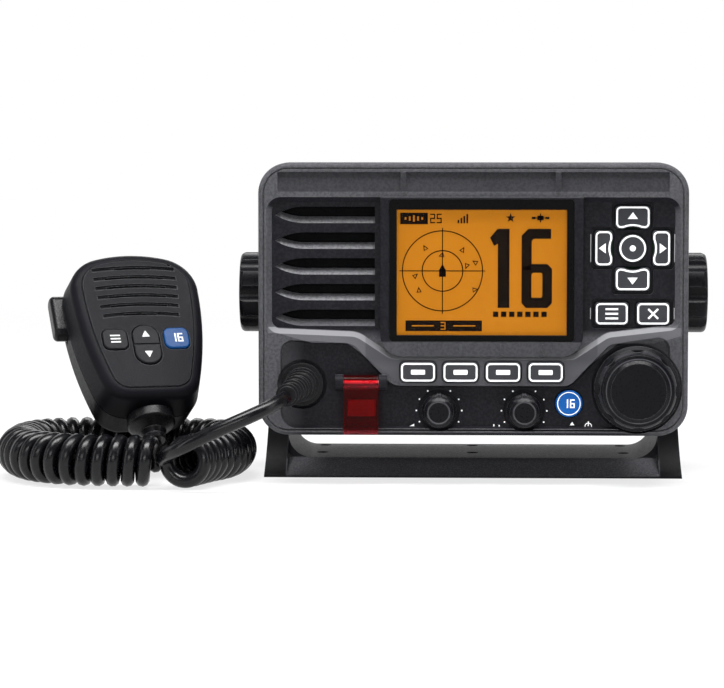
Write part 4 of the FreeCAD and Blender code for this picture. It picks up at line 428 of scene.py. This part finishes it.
HANDSET_LOOKS = {
    "housing": dict(colour=(0.008, 0.008, 0.0105), worn_and_lit=(0.08, 0.08, 0.09), rough=0.42,
                    grain=0.00035, depth=0.00004, shine=0.05),
    "handset_plate": dict(colour=(0.010, 0.010, 0.0125), worn_and_lit=(0.24, 0.24, 0.25), rough=0.45,
                          grain=0.00035, depth=0.00005, shine=0.06, edge=0.0005),
}
LOOKS = {
    "handset_key": dict(colour=(0.008, 0.008, 0.010), worn_and_lit=(0.14, 0.14, 0.15), rough=0.4,
                        grain=0.0003, depth=0.00002, shine=0.08),
    "key_rubber": dict(colour=(0.04, 0.041, 0.047), worn_and_lit=(0.08, 0.08, 0.09), rough=0.5,
                       grain=0.0002, depth=0.00002),
    "seal_rubber": dict(colour=(0.005, 0.005, 0.006), worn_and_lit=(0.06, 0.06, 0.065), rough=0.3,
                        grain=0.00025, depth=0.00003, shine=0.17),
    "cord_rubber": dict(colour=(0.003, 0.003, 0.0042), worn_and_lit=(0.006, 0.006, 0.008), rough=0.26,
                        grain=0.002, depth=0.000003, shine=0.3),
    "cast_metal": dict(colour=(0.03, 0.031, 0.035), worn_and_lit=(0.14, 0.14, 0.15), rough=0.5,
                       grain=0.0005, depth=0.00008, edge=0.0005),
    "steel": dict(colour=(0.55, 0.55, 0.56), worn_and_lit=(0.7, 0.7, 0.7), rough=0.28,
                  grain=0.0006, depth=0.00001, shine=0.5, metal=1.0),
    "plated": dict(colour=(0.62, 0.6, 0.55), worn_and_lit=(0.8, 0.78, 0.74), rough=0.2,
                   grain=0.0006, depth=0.00001, shine=0.5, metal=1.0),
    "blue_key": dict(colour=(0.006, 0.095, 0.36), worn_and_lit=(0.06, 0.2, 0.5), rough=0.33,
                     grain=0.0003, depth=0.00001),
    "handset_blue": dict(colour=(0.003, 0.05, 0.18), worn_and_lit=(0.03, 0.12, 0.3), rough=0.33,
                         grain=0.0003, depth=0.00001),
    "red_key": dict(colour=(0.8, 0.012, 0.018), worn_and_lit=(0.85, 0.06, 0.06), rough=0.35,
                    grain=0.0003, depth=0.00001),
    "circuit_board": dict(colour=(0.01, 0.10, 0.03), worn_and_lit=(0.2, 0.25, 0.1), rough=0.4,
                          grain=0.0006, depth=0.00002, shine=0.4),
    "speaker_cone": dict(colour=(0.03, 0.03, 0.03), worn_and_lit=(0.08, 0.08, 0.08), rough=0.6,
                         grain=0.0008, depth=0.00005),
    "mesh": dict(colour=(0.002, 0.002, 0.0025), worn_and_lit=(0.006, 0.006, 0.006), rough=0.7,
                 grain=0.0009, depth=0.0002, shine=0.05),
    # the white print glows a little: painted light that keeps it bright
    "white_print": dict(colour=(0.78, 0.79, 0.8), worn_and_lit=(0.84, 0.84, 0.84), rough=0.5,
                        grain=0.0003, depth=0.000003, glow=0.5),
    # grey of the painted highlight lines beside the pad
    "glint_grey": dict(colour=(0.4, 0.4, 0.41), worn_and_lit=(0.45, 0.45, 0.45), rough=0.5,
                       grain=0.0003, depth=0.000003),
    "black_print": dict(colour=(0.003, 0.003, 0.003), worn_and_lit=(0.005, 0.005, 0.005), rough=0.3,
                        grain=0.0003, depth=0.000002, shine=0.05),
    "screen_ink": dict(colour=(0.010, 0.005, 0.002), worn_and_lit=(0.02, 0.01, 0.004), rough=0.6,
                       grain=0.0003, depth=0.000002, shine=0.05),
}
# Nodes whose look isn't the one that their slot names.
OWN_LOOK = {"front_bezel": "front_housing", "handset_blue_key": "handset_blue",
            "handset_left_key": "handset_key", "handset_rocker": "handset_key",
            "handset_face": "handset_plate"}


def materials():
    """Every material of the object, by name."""
    made = [front_material(), bracket_material(), knob_material(), screen_material(),
            glass_material(), red_material()]
    made += [handset_material(name, **look) for name, look in HANDSET_LOOKS.items()]
    made += [moulded(name, **look) for name, look in LOOKS.items()]
    return {mat.name: mat.material for mat in made}


MADE = materials()


def dress_nodes():
    for name, node in NODES.items():
        node.data.materials.clear()
        node.data.materials.append(MADE[OWN_LOOK.get(name, SLOTS[name])])


# ---------------------------------------------------------------- flat graphics
PANEL_PLACE = Matrix.Translation((0.0, -77.9, 76.4))
THICK = 0.06


class Print:
    """Flat shapes in panel millimetres, raised a little from a face that looks to the front."""

    def __init__(self, name, body, look, front, slot=None):
        self.name = name
        self.body = body
        self.material = MADE[look]
        self.slot = slot or look
        self.front = front
        self.mesh = bmesh.new()

    def shape(self, points):
        """A filled polygon through (across, up) points."""
        low = [self.mesh.verts.new((x, self.front, z)) for x, z in points]
        high = [self.mesh.verts.new((x, self.front - THICK, z)) for x, z in points]
        self.mesh.faces.new(high)
        for index, vertex in enumerate(low):
            self.mesh.faces.new((low[index - 1], vertex, high[index], high[index - 1]))

    def shapes(self, outlines):
        for points in outlines:
            self.shape(points)

    def band(self, outer, inner):
        """The ring between two outlines with the same number of points."""
        loops = [[self.mesh.verts.new((x, y, z)) for x, z in loop]
                 for loop, y in ((outer, self.front), (outer, self.front - THICK),
                                 (inner, self.front - THICK), (inner, self.front))]
        for first, second in zip(loops, loops[1:]):
            for index in range(len(first)):
                self.mesh.faces.new((first[index - 1], first[index],
                                     second[index], second[index - 1]))

    def finish(self, place=PANEL_PLACE):
        """Makes the piece, which moves with its body."""
        bmesh.ops.recalc_face_normals(self.mesh, faces=self.mesh.faces)
        self.mesh.transform(Matrix.Scale(MM, 4) @ place)
        data = bpy.data.meshes.new(self.name)
        self.mesh.to_mesh(data)
        self.mesh.free()
        data.materials.append(self.material)
        piece = bpy.data.objects.new(self.name, data)
        bpy.context.scene.collection.objects.link(piece)
        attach(piece, self.body)


def moved(point, across, up):
    return (point[0] + across, point[1] + up)


def rounded(middle, width, height, corner, steps=6):
    """Outline of a rounded rectangle, anticlockwise."""
    points = []
    for turn, (side, rise) in enumerate(((1, -1), (1, 1), (-1, 1), (-1, -1))):
        across = middle[0] + side * (width / 2 - corner)
        up = middle[1] + rise * (height / 2 - corner)
        for step in range(steps + 1):
            angle = math.radians(-90 + 90 * turn + 90 * step / steps)
            points.append((across + corner * math.cos(angle), up + corner * math.sin(angle)))
    return points


def box_outline(left, bottom, right, top):
    return [(left, bottom), (right, bottom), (right, top), (left, top)]


def circle(middle, radius, steps=40):
    return [(middle[0] + radius * math.cos(math.tau * step / steps),
             middle[1] + radius * math.sin(math.tau * step / steps)) for step in range(steps)]


def bar(start, end, width):
    """A thin rectangle from start to end."""
    along = Vector((end[0] - start[0], end[1] - start[1])).normalized()
    side = Vector((-along.y, along.x)) * (width / 2)
    start, end = Vector(start), Vector(end)
    return [tuple(start - side), tuple(end - side), tuple(end + side), tuple(start + side)]


def triangle(middle, size, angle, squash=1.0):
    """A triangle with its point towards angle, in degrees anticlockwise from right."""
    points = []
    for turn in (0, 120, 240):
        along = math.radians(angle + turn)
        reach = size if turn == 0 else size * squash
        points.append((middle[0] + reach * math.cos(along), middle[1] + reach * math.sin(along)))
    return points


def steps_up(left, bottom, pitch, heights, width):
    """Upright bars in a row, as in a meter."""
    return [bar((left + number * pitch, bottom), (left + number * pitch, bottom + tall), width)
            for number, tall in enumerate(heights)]


SEGMENTS = {"1": "bc", "2": "abged", "3": "abgcd", "5": "afgcd", "6": "afgedc"}


def digit(sign, place, width, height, stroke):
    """Bars of a seven-segment digit whose lower left corner is place."""
    left, bottom = place[0] + stroke / 2, place[1] + stroke / 2
    right, top = left + width - stroke, bottom + height - stroke
    middle = (bottom + top) / 2
    ends = {"a": ((left, top), (right, top)), "b": ((right, middle), (right, top)),
            "c": ((right, bottom), (right, middle)), "d": ((left, bottom), (right, bottom)),
            "e": ((left, bottom), (left, middle)), "f": ((left, middle), (left, top)),
            "g": ((left, middle), (right, middle))}
    bars = []
    for name in SEGMENTS[sign]:
        start, end = (Vector(point) for point in ends[name])
        along = (end - start).normalized() * (stroke / 2)
        bars.append(bar(tuple(start - along), tuple(end + along), stroke))
    return bars


def number(signs, lefts, bottom, width, height, stroke):
    """Bars of digits side by side, the left of each given."""
    return [points for sign, left in zip(signs, lefts)
            for points in digit(sign, (left, bottom), width, height, stroke)]


# ---------------------------------------------------------------- marks on the keys
# How far behind the panel's front each marked face lies; less than 0 is in front of it.
SOFTKEY_FACE, PAD_FACE, LOWER_FACE, ROUND_FACE, TRAY_FACE = -1.4, 2.4, 1.8, 0.4, 2.6
GLASS_FACE, SCREEN_FACE = -0.4, 1.2
RING_LINE = 0.75
SOFTKEYS, SOFTKEY_FIRST, SOFTKEY_PITCH, SOFTKEY_UP = 4, -22.4, 17.4, -29.7
PAD_MIDDLE = (65.2, 21.0)
MENU_MIDDLE, CLEAR_MIDDLE = (56.8, -5.8), (73.7, -5.8)
CHANNEL_MIDDLE = (39.4, -42.6)
# Arrow keys: middle and size, then place and angle of the arrow, all from the pad's middle.
ARROW_KEYS = {"up_key": ((0.0, 12.7), (14.5, 9.7), (0.0, 13.2), 90),
              "down_key": ((0.0, -12.7), (14.5, 9.7), (0.0, -13.2), -90),
              "left_key": ((-11.8, 0.0), (7.7, 14.8), (-12.2, 0.0), 180),
              "right_key": ((11.8, 0.0), (7.7, 14.8), (12.2, 0.0), 0)}
# Outer and inner line of an arrow key: inset from the key's edge, and corner radius.
ARROW_INSETS = ((0.45, 2.0), (1.2, 1.25))
ENTER_BITE = 8.7


def add_ringed_mark(name, node, middle, width, height, corner, face, signs):
    """The white line round a key's top and the signs in its middle."""
    mark = Print(name, node, "white_print", face)
    mark.band(rounded(middle, width, height, corner),
              rounded(middle, width - RING_LINE * 2, height - RING_LINE * 2, corner - RING_LINE))
    mark.shapes(signs)
    mark.finish()


def add_key_marks():
    for index in range(SOFTKEYS):
        middle = (SOFTKEY_FIRST + SOFTKEY_PITCH * index, SOFTKEY_UP)
        add_ringed_mark(f"softkey_mark_{index + 1}", f"softkey_{index + 1}", middle, 13.9, 7.6,
                        1.9, SOFTKEY_FACE, [rounded(middle, 5.8, 2.0, 0.4)])
    for name, (_, _, arrow, angle) in ARROW_KEYS.items():
        mark = Print(f"{name}_mark", name, "white_print", PAD_FACE)
        mark.shape(triangle(moved(arrow, *PAD_MIDDLE), 1.6, angle, 1.5))
        mark.band(*bitten_outlines(name))
        mark.finish()
    enter = Print("enter_mark", "enter_key", "white_print", PAD_FACE)
    enter.band(circle(PAD_MIDDLE, 5.45), circle(PAD_MIDDLE, 4.7))
    enter.shape(circle(PAD_MIDDLE, 1.25, 24))
    enter.finish()
    lines = [bar(moved(MENU_MIDDLE, -2.6, rise), moved(MENU_MIDDLE, 2.6, rise), 0.8)
             for rise in (-1.9, 0.0, 1.9)]
    add_ringed_mark("menu_mark", "menu_key", MENU_MIDDLE, 13.0, 8.7, 1.8, PAD_FACE, lines)
    cross = [bar(moved(CLEAR_MIDDLE, *start), moved(CLEAR_MIDDLE, *end), 0.8)
             for start, end in (((-2.0, -2.0), (2.0, 2.0)), ((-2.0, 2.0), (-0.3, 0.3)),
                                ((0.3, -0.3), (2.0, -2.0)))]
    add_ringed_mark("clear_mark", "clear_key", CLEAR_MIDDLE, 13.0, 8.7, 1.8, PAD_FACE, cross)
    blue = Print("channel_mark", "channel_key", "white_print", ROUND_FACE)
    blue.band(circle(CHANNEL_MIDDLE, 4.8), circle(CHANNEL_MIDDLE, 4.45))
    blue.shapes(number("16", (37.1, 39.8), -44.4, 2.0, 3.6, 0.55))
    blue.finish()


def bitten_outlines(name):
    """Outer and inner line of an arrow key, which the ring round the enter key bites into."""
    middle, (width, height), _, _ = ARROW_KEYS[name]
    outlines = []
    for inset, corner in ARROW_INSETS:
        loop = dense(rounded(middle, width - inset * 2, height - inset * 2, corner, steps=10))
        bitten = [push_out(Vector(point), middle, ENTER_BITE + inset) for point in loop]
        outlines.append([moved(point, *PAD_MIDDLE) for point in bitten])
    return outlines


def dense(loop, parts=8):
    """The loop with more points on each of its sides."""
    points = []
    for start, end in zip(loop, loop[1:] + loop[:1]):
        for part in range(parts):
            share = part / parts
            points.append((start[0] + (end[0] - start[0]) * share,
                           start[1] + (end[1] - start[1]) * share))
    return points


def push_out(spot, middle, radius):
    """A point within the circle round the origin goes out to it, the way its key lies."""
    if spot.length >= radius:
        return spot
    if abs(middle[0]) < abs(middle[1]):
        rise = math.sqrt(max(radius ** 2 - spot.x ** 2, 0.0))
        return Vector((spot.x, math.copysign(rise, middle[1])))
    reach = math.sqrt(max(radius ** 2 - spot.y ** 2, 0.0))
    return Vector((math.copysign(reach, middle[0]), spot.y))


# ---------------------------------------------------------------- marks on the panel
SMALL_KNOBS_ACROSS, SMALL_KNOBS_UP = (-13.8, 21.1), -45.7
SCALE_ANGLES = (30, 60, 90, 120, 150, -30, -60, -90, -120, -150)
SCALE_RADIUS, SCALE_DOT = 9.3, 0.33
SIGNS_FOOT = -53.6
POWER_MIDDLE = (47.4, -52.0)


def add_panel_marks():
    """Scales and signs of the knobs, painted highlight lines beside the pad,
    and the window's black border.
    """
    dots = Print("scale_marks", "transceiver", "white_print", LOWER_FACE)
    for across in SMALL_KNOBS_ACROSS:
        for angle in SCALE_ANGLES:
            turn = math.radians(90 - angle)
            spot = moved((across, SMALL_KNOBS_UP), SCALE_RADIUS * math.cos(turn),
                         SCALE_RADIUS * math.sin(turn))
            dots.shape(circle(spot, SCALE_DOT, 14))
    dots.shape([(-28.6, SIGNS_FOOT), (-24.0, SIGNS_FOOT), (-24.0, -51.2)])
    dots.shapes(steps_up(7.6, SIGNS_FOOT, 1.1, (1.0, 2.3, 1.3, 2.0), 0.5))
    dots.band(circle(POWER_MIDDLE, 1.5, 30), circle(POWER_MIDDLE, 1.15, 30))
    dots.shape(bar((47.4, -51.9), (47.4, -50.0), 0.45))
    for up, angle in ((-51.1, 90), (-53.0, -90)):
        dots.shape(triangle((40.8, up), 1.0, angle))
    dots.finish()
    # painted highlight: thin grey lines beside the pad, where the rim of its well catches the
    # light
    sides = Print("pad_rim_glints", "transceiver", "glint_grey", TRAY_FACE, slot="white_print")
    for across in (48.1, 82.3):
        for low, high in ((15.4, 26.8), (-8.0, -3.4)):
            sides.shape(bar((across, low), (across, high), 0.3))
    sides.finish()
    mask = Print("window_mask", "transceiver", "black_print", GLASS_FACE, slot="window_glass")
    mask.band(rounded((3.55, 11.85), 75.3, 58.1, 1.3, 8),
              rounded((3.55, 11.05), 69.7, 51.5, 0.4, 8))
    mask.finish()


# ---------------------------------------------------------------- display
PLOT_MIDDLE, PLOT_RINGS, PLOT_REACH = (-12.5, 11.7), (16.4, 8.3), 17.6
# Craft round the middle of the plot: place and heading.
CRAFT = ((-19.5, 20.9, 120), (-4.4, 20.1, 60), (-2.5, 14.0, 250), (1.1, 15.1, 150),
         (0.5, 4.0, 10), (-22.1, 3.5, 95), (-23.8, 9.5, 40), (-12.6, 18.2, 200))


def add_screen():
    """Plot of nearby craft on the left, the channel number on the right, icons above."""
    ink = Print("screen_ink", "transceiver", "screen_ink", SCREEN_FACE, slot="screen")
    add_plot(ink)
    add_channel_number(ink)
    add_icons(ink)
    ink.finish()
    light = Print("screen_light", "transceiver", "screen", SCREEN_FACE - 0.02)
    for index, tall in enumerate((1.0, 1.8, 2.6, 1.8, 1.0)):
        across = -27.6 + index * 1.7
        light.shape(bar((across, 33.15 - tall / 2), (across, 33.15 + tall / 2), 0.7))
    light.shapes(number("3", (-13.2,), -12.4, 2.0, 3.2, 0.45))
    for start, end in ((-25.0, -16.0), (-8.0, 1.0)):
        light.shape(bar((start, -10.8), (end, -10.8), 0.45))
    light.finish()


def add_plot(ink):
    for radius in PLOT_RINGS:
        ink.band(circle(PLOT_MIDDLE, radius + 0.22, 72), circle(PLOT_MIDDLE, radius - 0.22, 72))
    for across, up in ((PLOT_REACH, 0.0), (0.0, PLOT_REACH)):
        ink.shape(bar(moved(PLOT_MIDDLE, -across, -up), moved(PLOT_MIDDLE, across, up), 0.4))
    ink.shape([(-13.9, 9.3), (-11.1, 9.3), (-11.1, 12.0), (-12.5, 14.6), (-13.9, 12.0)])
    for across, up, heading in CRAFT:
        ink.band(triangle((across, up), 1.7, heading, 0.75),
                 triangle((across, up), 0.9, heading, 0.75))
    ink.shape(box_outline(-27.6, -13.0, 3.7, -8.6))


def add_channel_number(ink):
    """The large 16 with cut corners, and the row of squares under it."""
    ink.shape([(14.9, 29.0), (10.0, 29.0), (6.9, 25.3), (8.6, 21.9), (10.1, 22.9),
               (10.1, -3.4), (14.9, -3.4)])
    bowl = [(21.6, -3.4), (30.4, -3.4), (32.3, -1.4), (32.3, 12.6), (30.4, 14.6),
            (24.0, 14.6), (19.8, 12.6), (19.8, -1.4)]
    hole = [(24.0, 0.8), (27.9, 0.8), (28.3, 1.4), (28.3, 10.4), (27.9, 11.0),
            (24.6, 11.0), (23.9, 10.4), (23.9, 1.4)]
    ink.band(bowl, hole)
    ink.shape([(23.95, 12.0), (23.95, 23.9), (24.8, 24.9), (31.9, 24.9), (31.9, 29.0),
               (22.6, 29.0), (19.8, 26.2), (19.8, 12.0)])
    for index in range(7):
        ink.shape(bar((8.2 + index * 3.3, -6.0), (10.4 + index * 3.3, -6.0), 2.2))


def add_icons(ink):
    """Dark field, 25, signal bars, star and satellite, from left to right."""
    ink.shape(box_outline(-29.8, 30.8, -18.5, 35.5))
    ink.shapes(number("25", (-17.6, -14.9), 31.2, 2.1, 3.9, 0.5))
    ink.shapes(steps_up(-6.0, 31.2, 1.2, (1.4, 2.2, 3.0, 3.8), 0.7))
    star = []
    for corner in range(10):
        reach = 2.1 if corner % 2 == 0 else 0.85
        angle = math.radians(90 + 36 * corner)
        star.append((15.3 + reach * math.cos(angle), 33.4 + reach * math.sin(angle)))
    ink.shape(star)
    for start, end, width in (((26.2, 33.4), (28.8, 33.4), 1.9), ((23.9, 33.4), (25.5, 33.4), 1.0),
                              ((29.5, 33.4), (31.1, 33.4), 1.0), ((25.5, 33.4), (29.5, 33.4), 0.4),
                              ((27.5, 31.6), (27.5, 35.2), 0.5)):
        ink.shape(bar(start, end, width))


# ---------------------------------------------------------------- marks on the handset
HANDSET_PLACE = (Matrix.Translation((-132.0, -66.0, 16.5))
                 @ Matrix.Rotation(math.radians(20.0), 4, "Z")
                 @ Matrix.Rotation(math.radians(-38.0), 4, "X"))
HANDSET_KEY_FACE = -15.4


def add_handset_marks():
    """Signs in the handset's own millimetres, from its foot."""
    lines = [bar((-15.3, 41.5 + rise), (-11.1, 41.5 + rise), 0.6) for rise in (-1.6, 0.0, 1.6)]
    arrows = [triangle((0.0, 43.2), 2.1, 90, 0.9), triangle((0.0, 34.0), 2.1, -90, 0.9)]
    digits = number("16", (10.6, 13.5), 39.4, 2.3, 4.2, 0.6)
    for name, node, signs in (("left_key_mark", "handset_left_key", lines),
                              ("rocker_marks", "handset_rocker", arrows),
                              ("blue_key_mark", "handset_blue_key", digits)):
        mark = Print(name, node, "white_print", HANDSET_KEY_FACE)
        mark.shapes(signs)
        mark.finish(HANDSET_PLACE)


# ---------------------------------------------------------------- cords
LEAD = [(-75.9, -98.25, 37.9), (-79.5, -106.5, 35.5), (-91.0, -112.0, 30.5),
        (-106.0, -112.5, 24.0), (-118.5, -109.5, 17.5), (-125.9, -98.2, 13.4)]
COIL = [(-117.0, -98.0, 11.3), (-112.0, -82.0, 11.3), (-102.5, -62.0, 11.3),
        (-101.0, -40.0, 11.3), (-108.0, -22.0, 11.3), (-125.0, -17.0, 11.3),
        (-146.0, -21.0, 11.3), (-166.0, -14.0, 11.3), (-183.0, -22.0, 11.3),
        (-189.0, -38.0, 11.3), (-189.0, -46.0, 11.3)]
COIL_END = (-189.0, -46.3, 11.3)
RISING = [(-189.0, -60.0, 11.3), (-177.0, -82.0, 11.3), (-154.0, -93.0, 11.3),
          (-129.5, -92.0, 11.3)]
TAIL = [(-131.0, -80.6, 9.2), (-131.2, -71.5, 10.2), (-131.87, -66.35, 16.03)]
LEFT_LOOP = -170.0
WIRE = 5.8
TURN_RADIUS = 8.0
TURN_POINTS = 14
PITCH = 6.05


def smooth_line(points):
    """Points in metres along the NURBS curve with these control points in millimetres."""
    curve = bpy.data.curves.new("route", "CURVE")
    curve.dimensions = "3D"
    spline = curve.splines.new("NURBS")
    spline.points.add(len(points) - 1)
    for point, place in zip(spline.points, points):
        point.co = (place[0] * MM, place[1] * MM, place[2] * MM, 1.0)
    spline.order_u = 3
    spline.use_endpoint_u = True
    curve.resolution_u = 12
    holder = bpy.data.objects.new("route", curve)
    mesh = bpy.data.meshes.new_from_object(holder)
    line = [vertex.co.copy() for vertex in mesh.vertices]
    bpy.data.objects.remove(holder)
    bpy.data.meshes.remove(mesh)
    return line


def helix(line):
    """Control points, in millimetres, of the turns round a line in metres."""
    lengths = [0.0]
    for before, after in zip(line, line[1:]):
        lengths.append(lengths[-1] + (after - before).length / MM)
    count = int(lengths[-1] / PITCH * TURN_POINTS)
    points = []
    index = 0
    for step in range(count + 1):
        along = lengths[-1] * step / count
        while index < len(lengths) - 2 and lengths[index + 1] < along:
            index += 1
        share = (along - lengths[index]) / (lengths[index + 1] - lengths[index])
        middle = line[index].lerp(line[index + 1], share) / MM
        ahead = (line[min(index + 2, len(line) - 1)] - line[max(index - 1, 0)]).normalized()
        side = Vector((-ahead.y, ahead.x, 0.0)).normalized()
        angle = -math.tau * step / TURN_POINTS
        points.append(middle + (side * math.cos(angle) + Vector((0, 0, 1)) * math.sin(angle))
                      * TURN_RADIUS)
    return points


def tube(name, line):
    """A round wire along a line of points."""
    curve = bpy.data.curves.new(name, "CURVE")
    curve.dimensions = "3D"
    curve.bevel_depth = WIRE / 2 * MM
    curve.bevel_resolution = 3
    curve.use_fill_caps = True
    curve.twist_mode = "MINIMUM"
    spline = curve.splines.new("POLY")
    spline.points.add(len(line) - 1)
    for point, place in zip(spline.points, line):
        point.co = (*place, 1.0)
    holder = bpy.data.objects.new(name, curve)
    mesh = bpy.data.meshes.new_from_object(holder)
    bpy.data.objects.remove(holder)
    mesh.name = name
    mesh.shade_smooth()
    mesh.materials.clear()
    mesh.materials.append(MADE["cord_rubber"])
    piece = bpy.data.objects.new(name, mesh)
    bpy.context.scene.collection.objects.link(piece)
    return piece


def nearest(line, place):
    spot = Vector(place) * MM
    return min(range(len(line)), key=lambda index: (line[index] - spot).length)


def add_cords():
    """One wire from the transceiver to the handset, cut into the pieces of the frame."""
    turns = helix(smooth_line(COIL + RISING))
    whole = smooth_line(LEAD + turns + TAIL)
    first = nearest(whole, turns[2])
    tail = nearest(whole, turns[-3])
    joint = min((index for index in range(first, tail) if whole[index].x < LEFT_LOOP * MM),
                key=lambda index: abs(whole[index].y - COIL_END[1] * MM))
    pieces = {}
    for name, start, end in (("lead_cord", 0, first), ("coil_cord", first, joint),
                             ("coil_end_cord", joint, tail), ("tail_cord", tail, len(whole) - 1)):
        line = whole[start:end + 1]
        pieces[name] = (tube(name, line), line)
    lead, line = pieces["lead_cord"]
    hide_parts("mic_lead")
    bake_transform(lead)
    coil, line = pieces["coil_cord"]
    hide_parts("coil_main")
    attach(coil, "bracket")
    tail_piece = pieces["tail_cord"][0]
    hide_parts("handset_tail")
    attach(tail_piece, "handset")
    end, line = pieces["coil_end_cord"]
    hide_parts("coil_rising_end")
    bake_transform(end)


# ---------------------------------------------------------------- stage
STAGE_SIDE = 14.0
# Depth and height along the floor and up the backdrop.
STAGE_PROFILE = ((-14.0, 0.0), (2.8, 0.0), (3.15, 0.04), (3.4, 0.15), (3.55, 0.4), (3.6, 3.4))
# Name, place, size and power of each lamp; all of them aim at the object.
LAMPS = (("top_box", (0.0, -0.35, 1.3), (1.4, 0.5), 36.0),
         ("left_strip", (-1.4, -0.6, 0.5), (0.2, 1.2), 4.0),
         ("right_strip", (1.3, -0.6, 0.6), (0.2, 1.2), 4.0),
         ("back_box", (0.1, 1.4, 1.1), (1.2, 0.3), 6.0),
         ("front_box", (-0.2, -1.7, 0.55), (0.9, 0.3), 6.0))
LAMP_AIM = (-0.02, -0.03, 0.07)
WORLD_LIGHT = 0.15


def floor_material():
    """Pale paint that shows plain white away from the object, so its shadow stays."""
    mat = Nodes("floor_paint")
    mat.give(Roughness=0.9, Base_Color=mat.blend(mat.noise(0.3, 2.0), (0.86, 0.86, 0.86),
                                                 (0.88, 0.88, 0.88)))
    light = mat.tree.nodes.new("ShaderNodeEmission")
    light.inputs["Strength"].default_value = 1.0
    path = mat.tree.nodes.new("ShaderNodeLightPath").outputs
    seen = mat.largest(path["Is Camera Ray"], path["Is Glossy Ray"],
                       path["Is Transmission Ray"])
    away = mat.tree.nodes.new("ShaderNodeVectorMath")
    away.operation = "LENGTH"
    mat.link(mat.place, away.inputs[0])
    share = mat.product(seen, mat.spread(away.outputs["Value"], 0.74, 1.0, 0.4, 1.2))
    mix = mat.tree.nodes.new("ShaderNodeMixShader")
    for source, socket in zip((share, mat.shader.outputs[0], light.outputs[0]), mix.inputs):
        mat.link(source, socket)
    mat.link(mix.outputs[0], mat.output.inputs["Surface"])
    return mat.material


def add_stage():
    mesh = bmesh.new()
    left, right = ([mesh.verts.new((x, y, z)) for y, z in STAGE_PROFILE]
                   for x in (-STAGE_SIDE, STAGE_SIDE))
    for index in range(len(STAGE_PROFILE) - 1):
        mesh.faces.new((left[index], right[index], right[index + 1], left[index + 1]))
    data = bpy.data.meshes.new("floor")
    mesh.to_mesh(data)
    mesh.free()
    data.shade_smooth()
    data.materials.append(floor_material())
    floor = bpy.data.objects.new("floor", data)
    bpy.context.scene.collection.objects.link(floor)


def add_lights():
    for name, place, size, power in LAMPS:
        data = bpy.data.lights.new(name, "AREA")
        data.shape = "RECTANGLE"
        data.size, data.size_y = size
        data.energy = power
        lamp = bpy.data.objects.new(name, data)
        lamp.location = place
        aim = Vector(LAMP_AIM) - Vector(place)
        lamp.rotation_euler = aim.to_track_quat("-Z", "Y").to_euler()
        bpy.context.scene.collection.objects.link(lamp)
    world = bpy.data.worlds.new("studio")
    world.use_nodes = True
    sky = world.node_tree.nodes["Background"].inputs
    sky[0].default_value = (0.95, 0.97, 1.0, 1.0)
    sky[1].default_value = WORLD_LIGHT
    bpy.context.scene.world = world
    bpy.context.scene.view_settings.view_transform = "Standard"


dress_nodes()
add_camera()
add_cords()
add_key_marks()
add_panel_marks()
add_screen()
add_handset_marks()
add_stage()
add_lights()
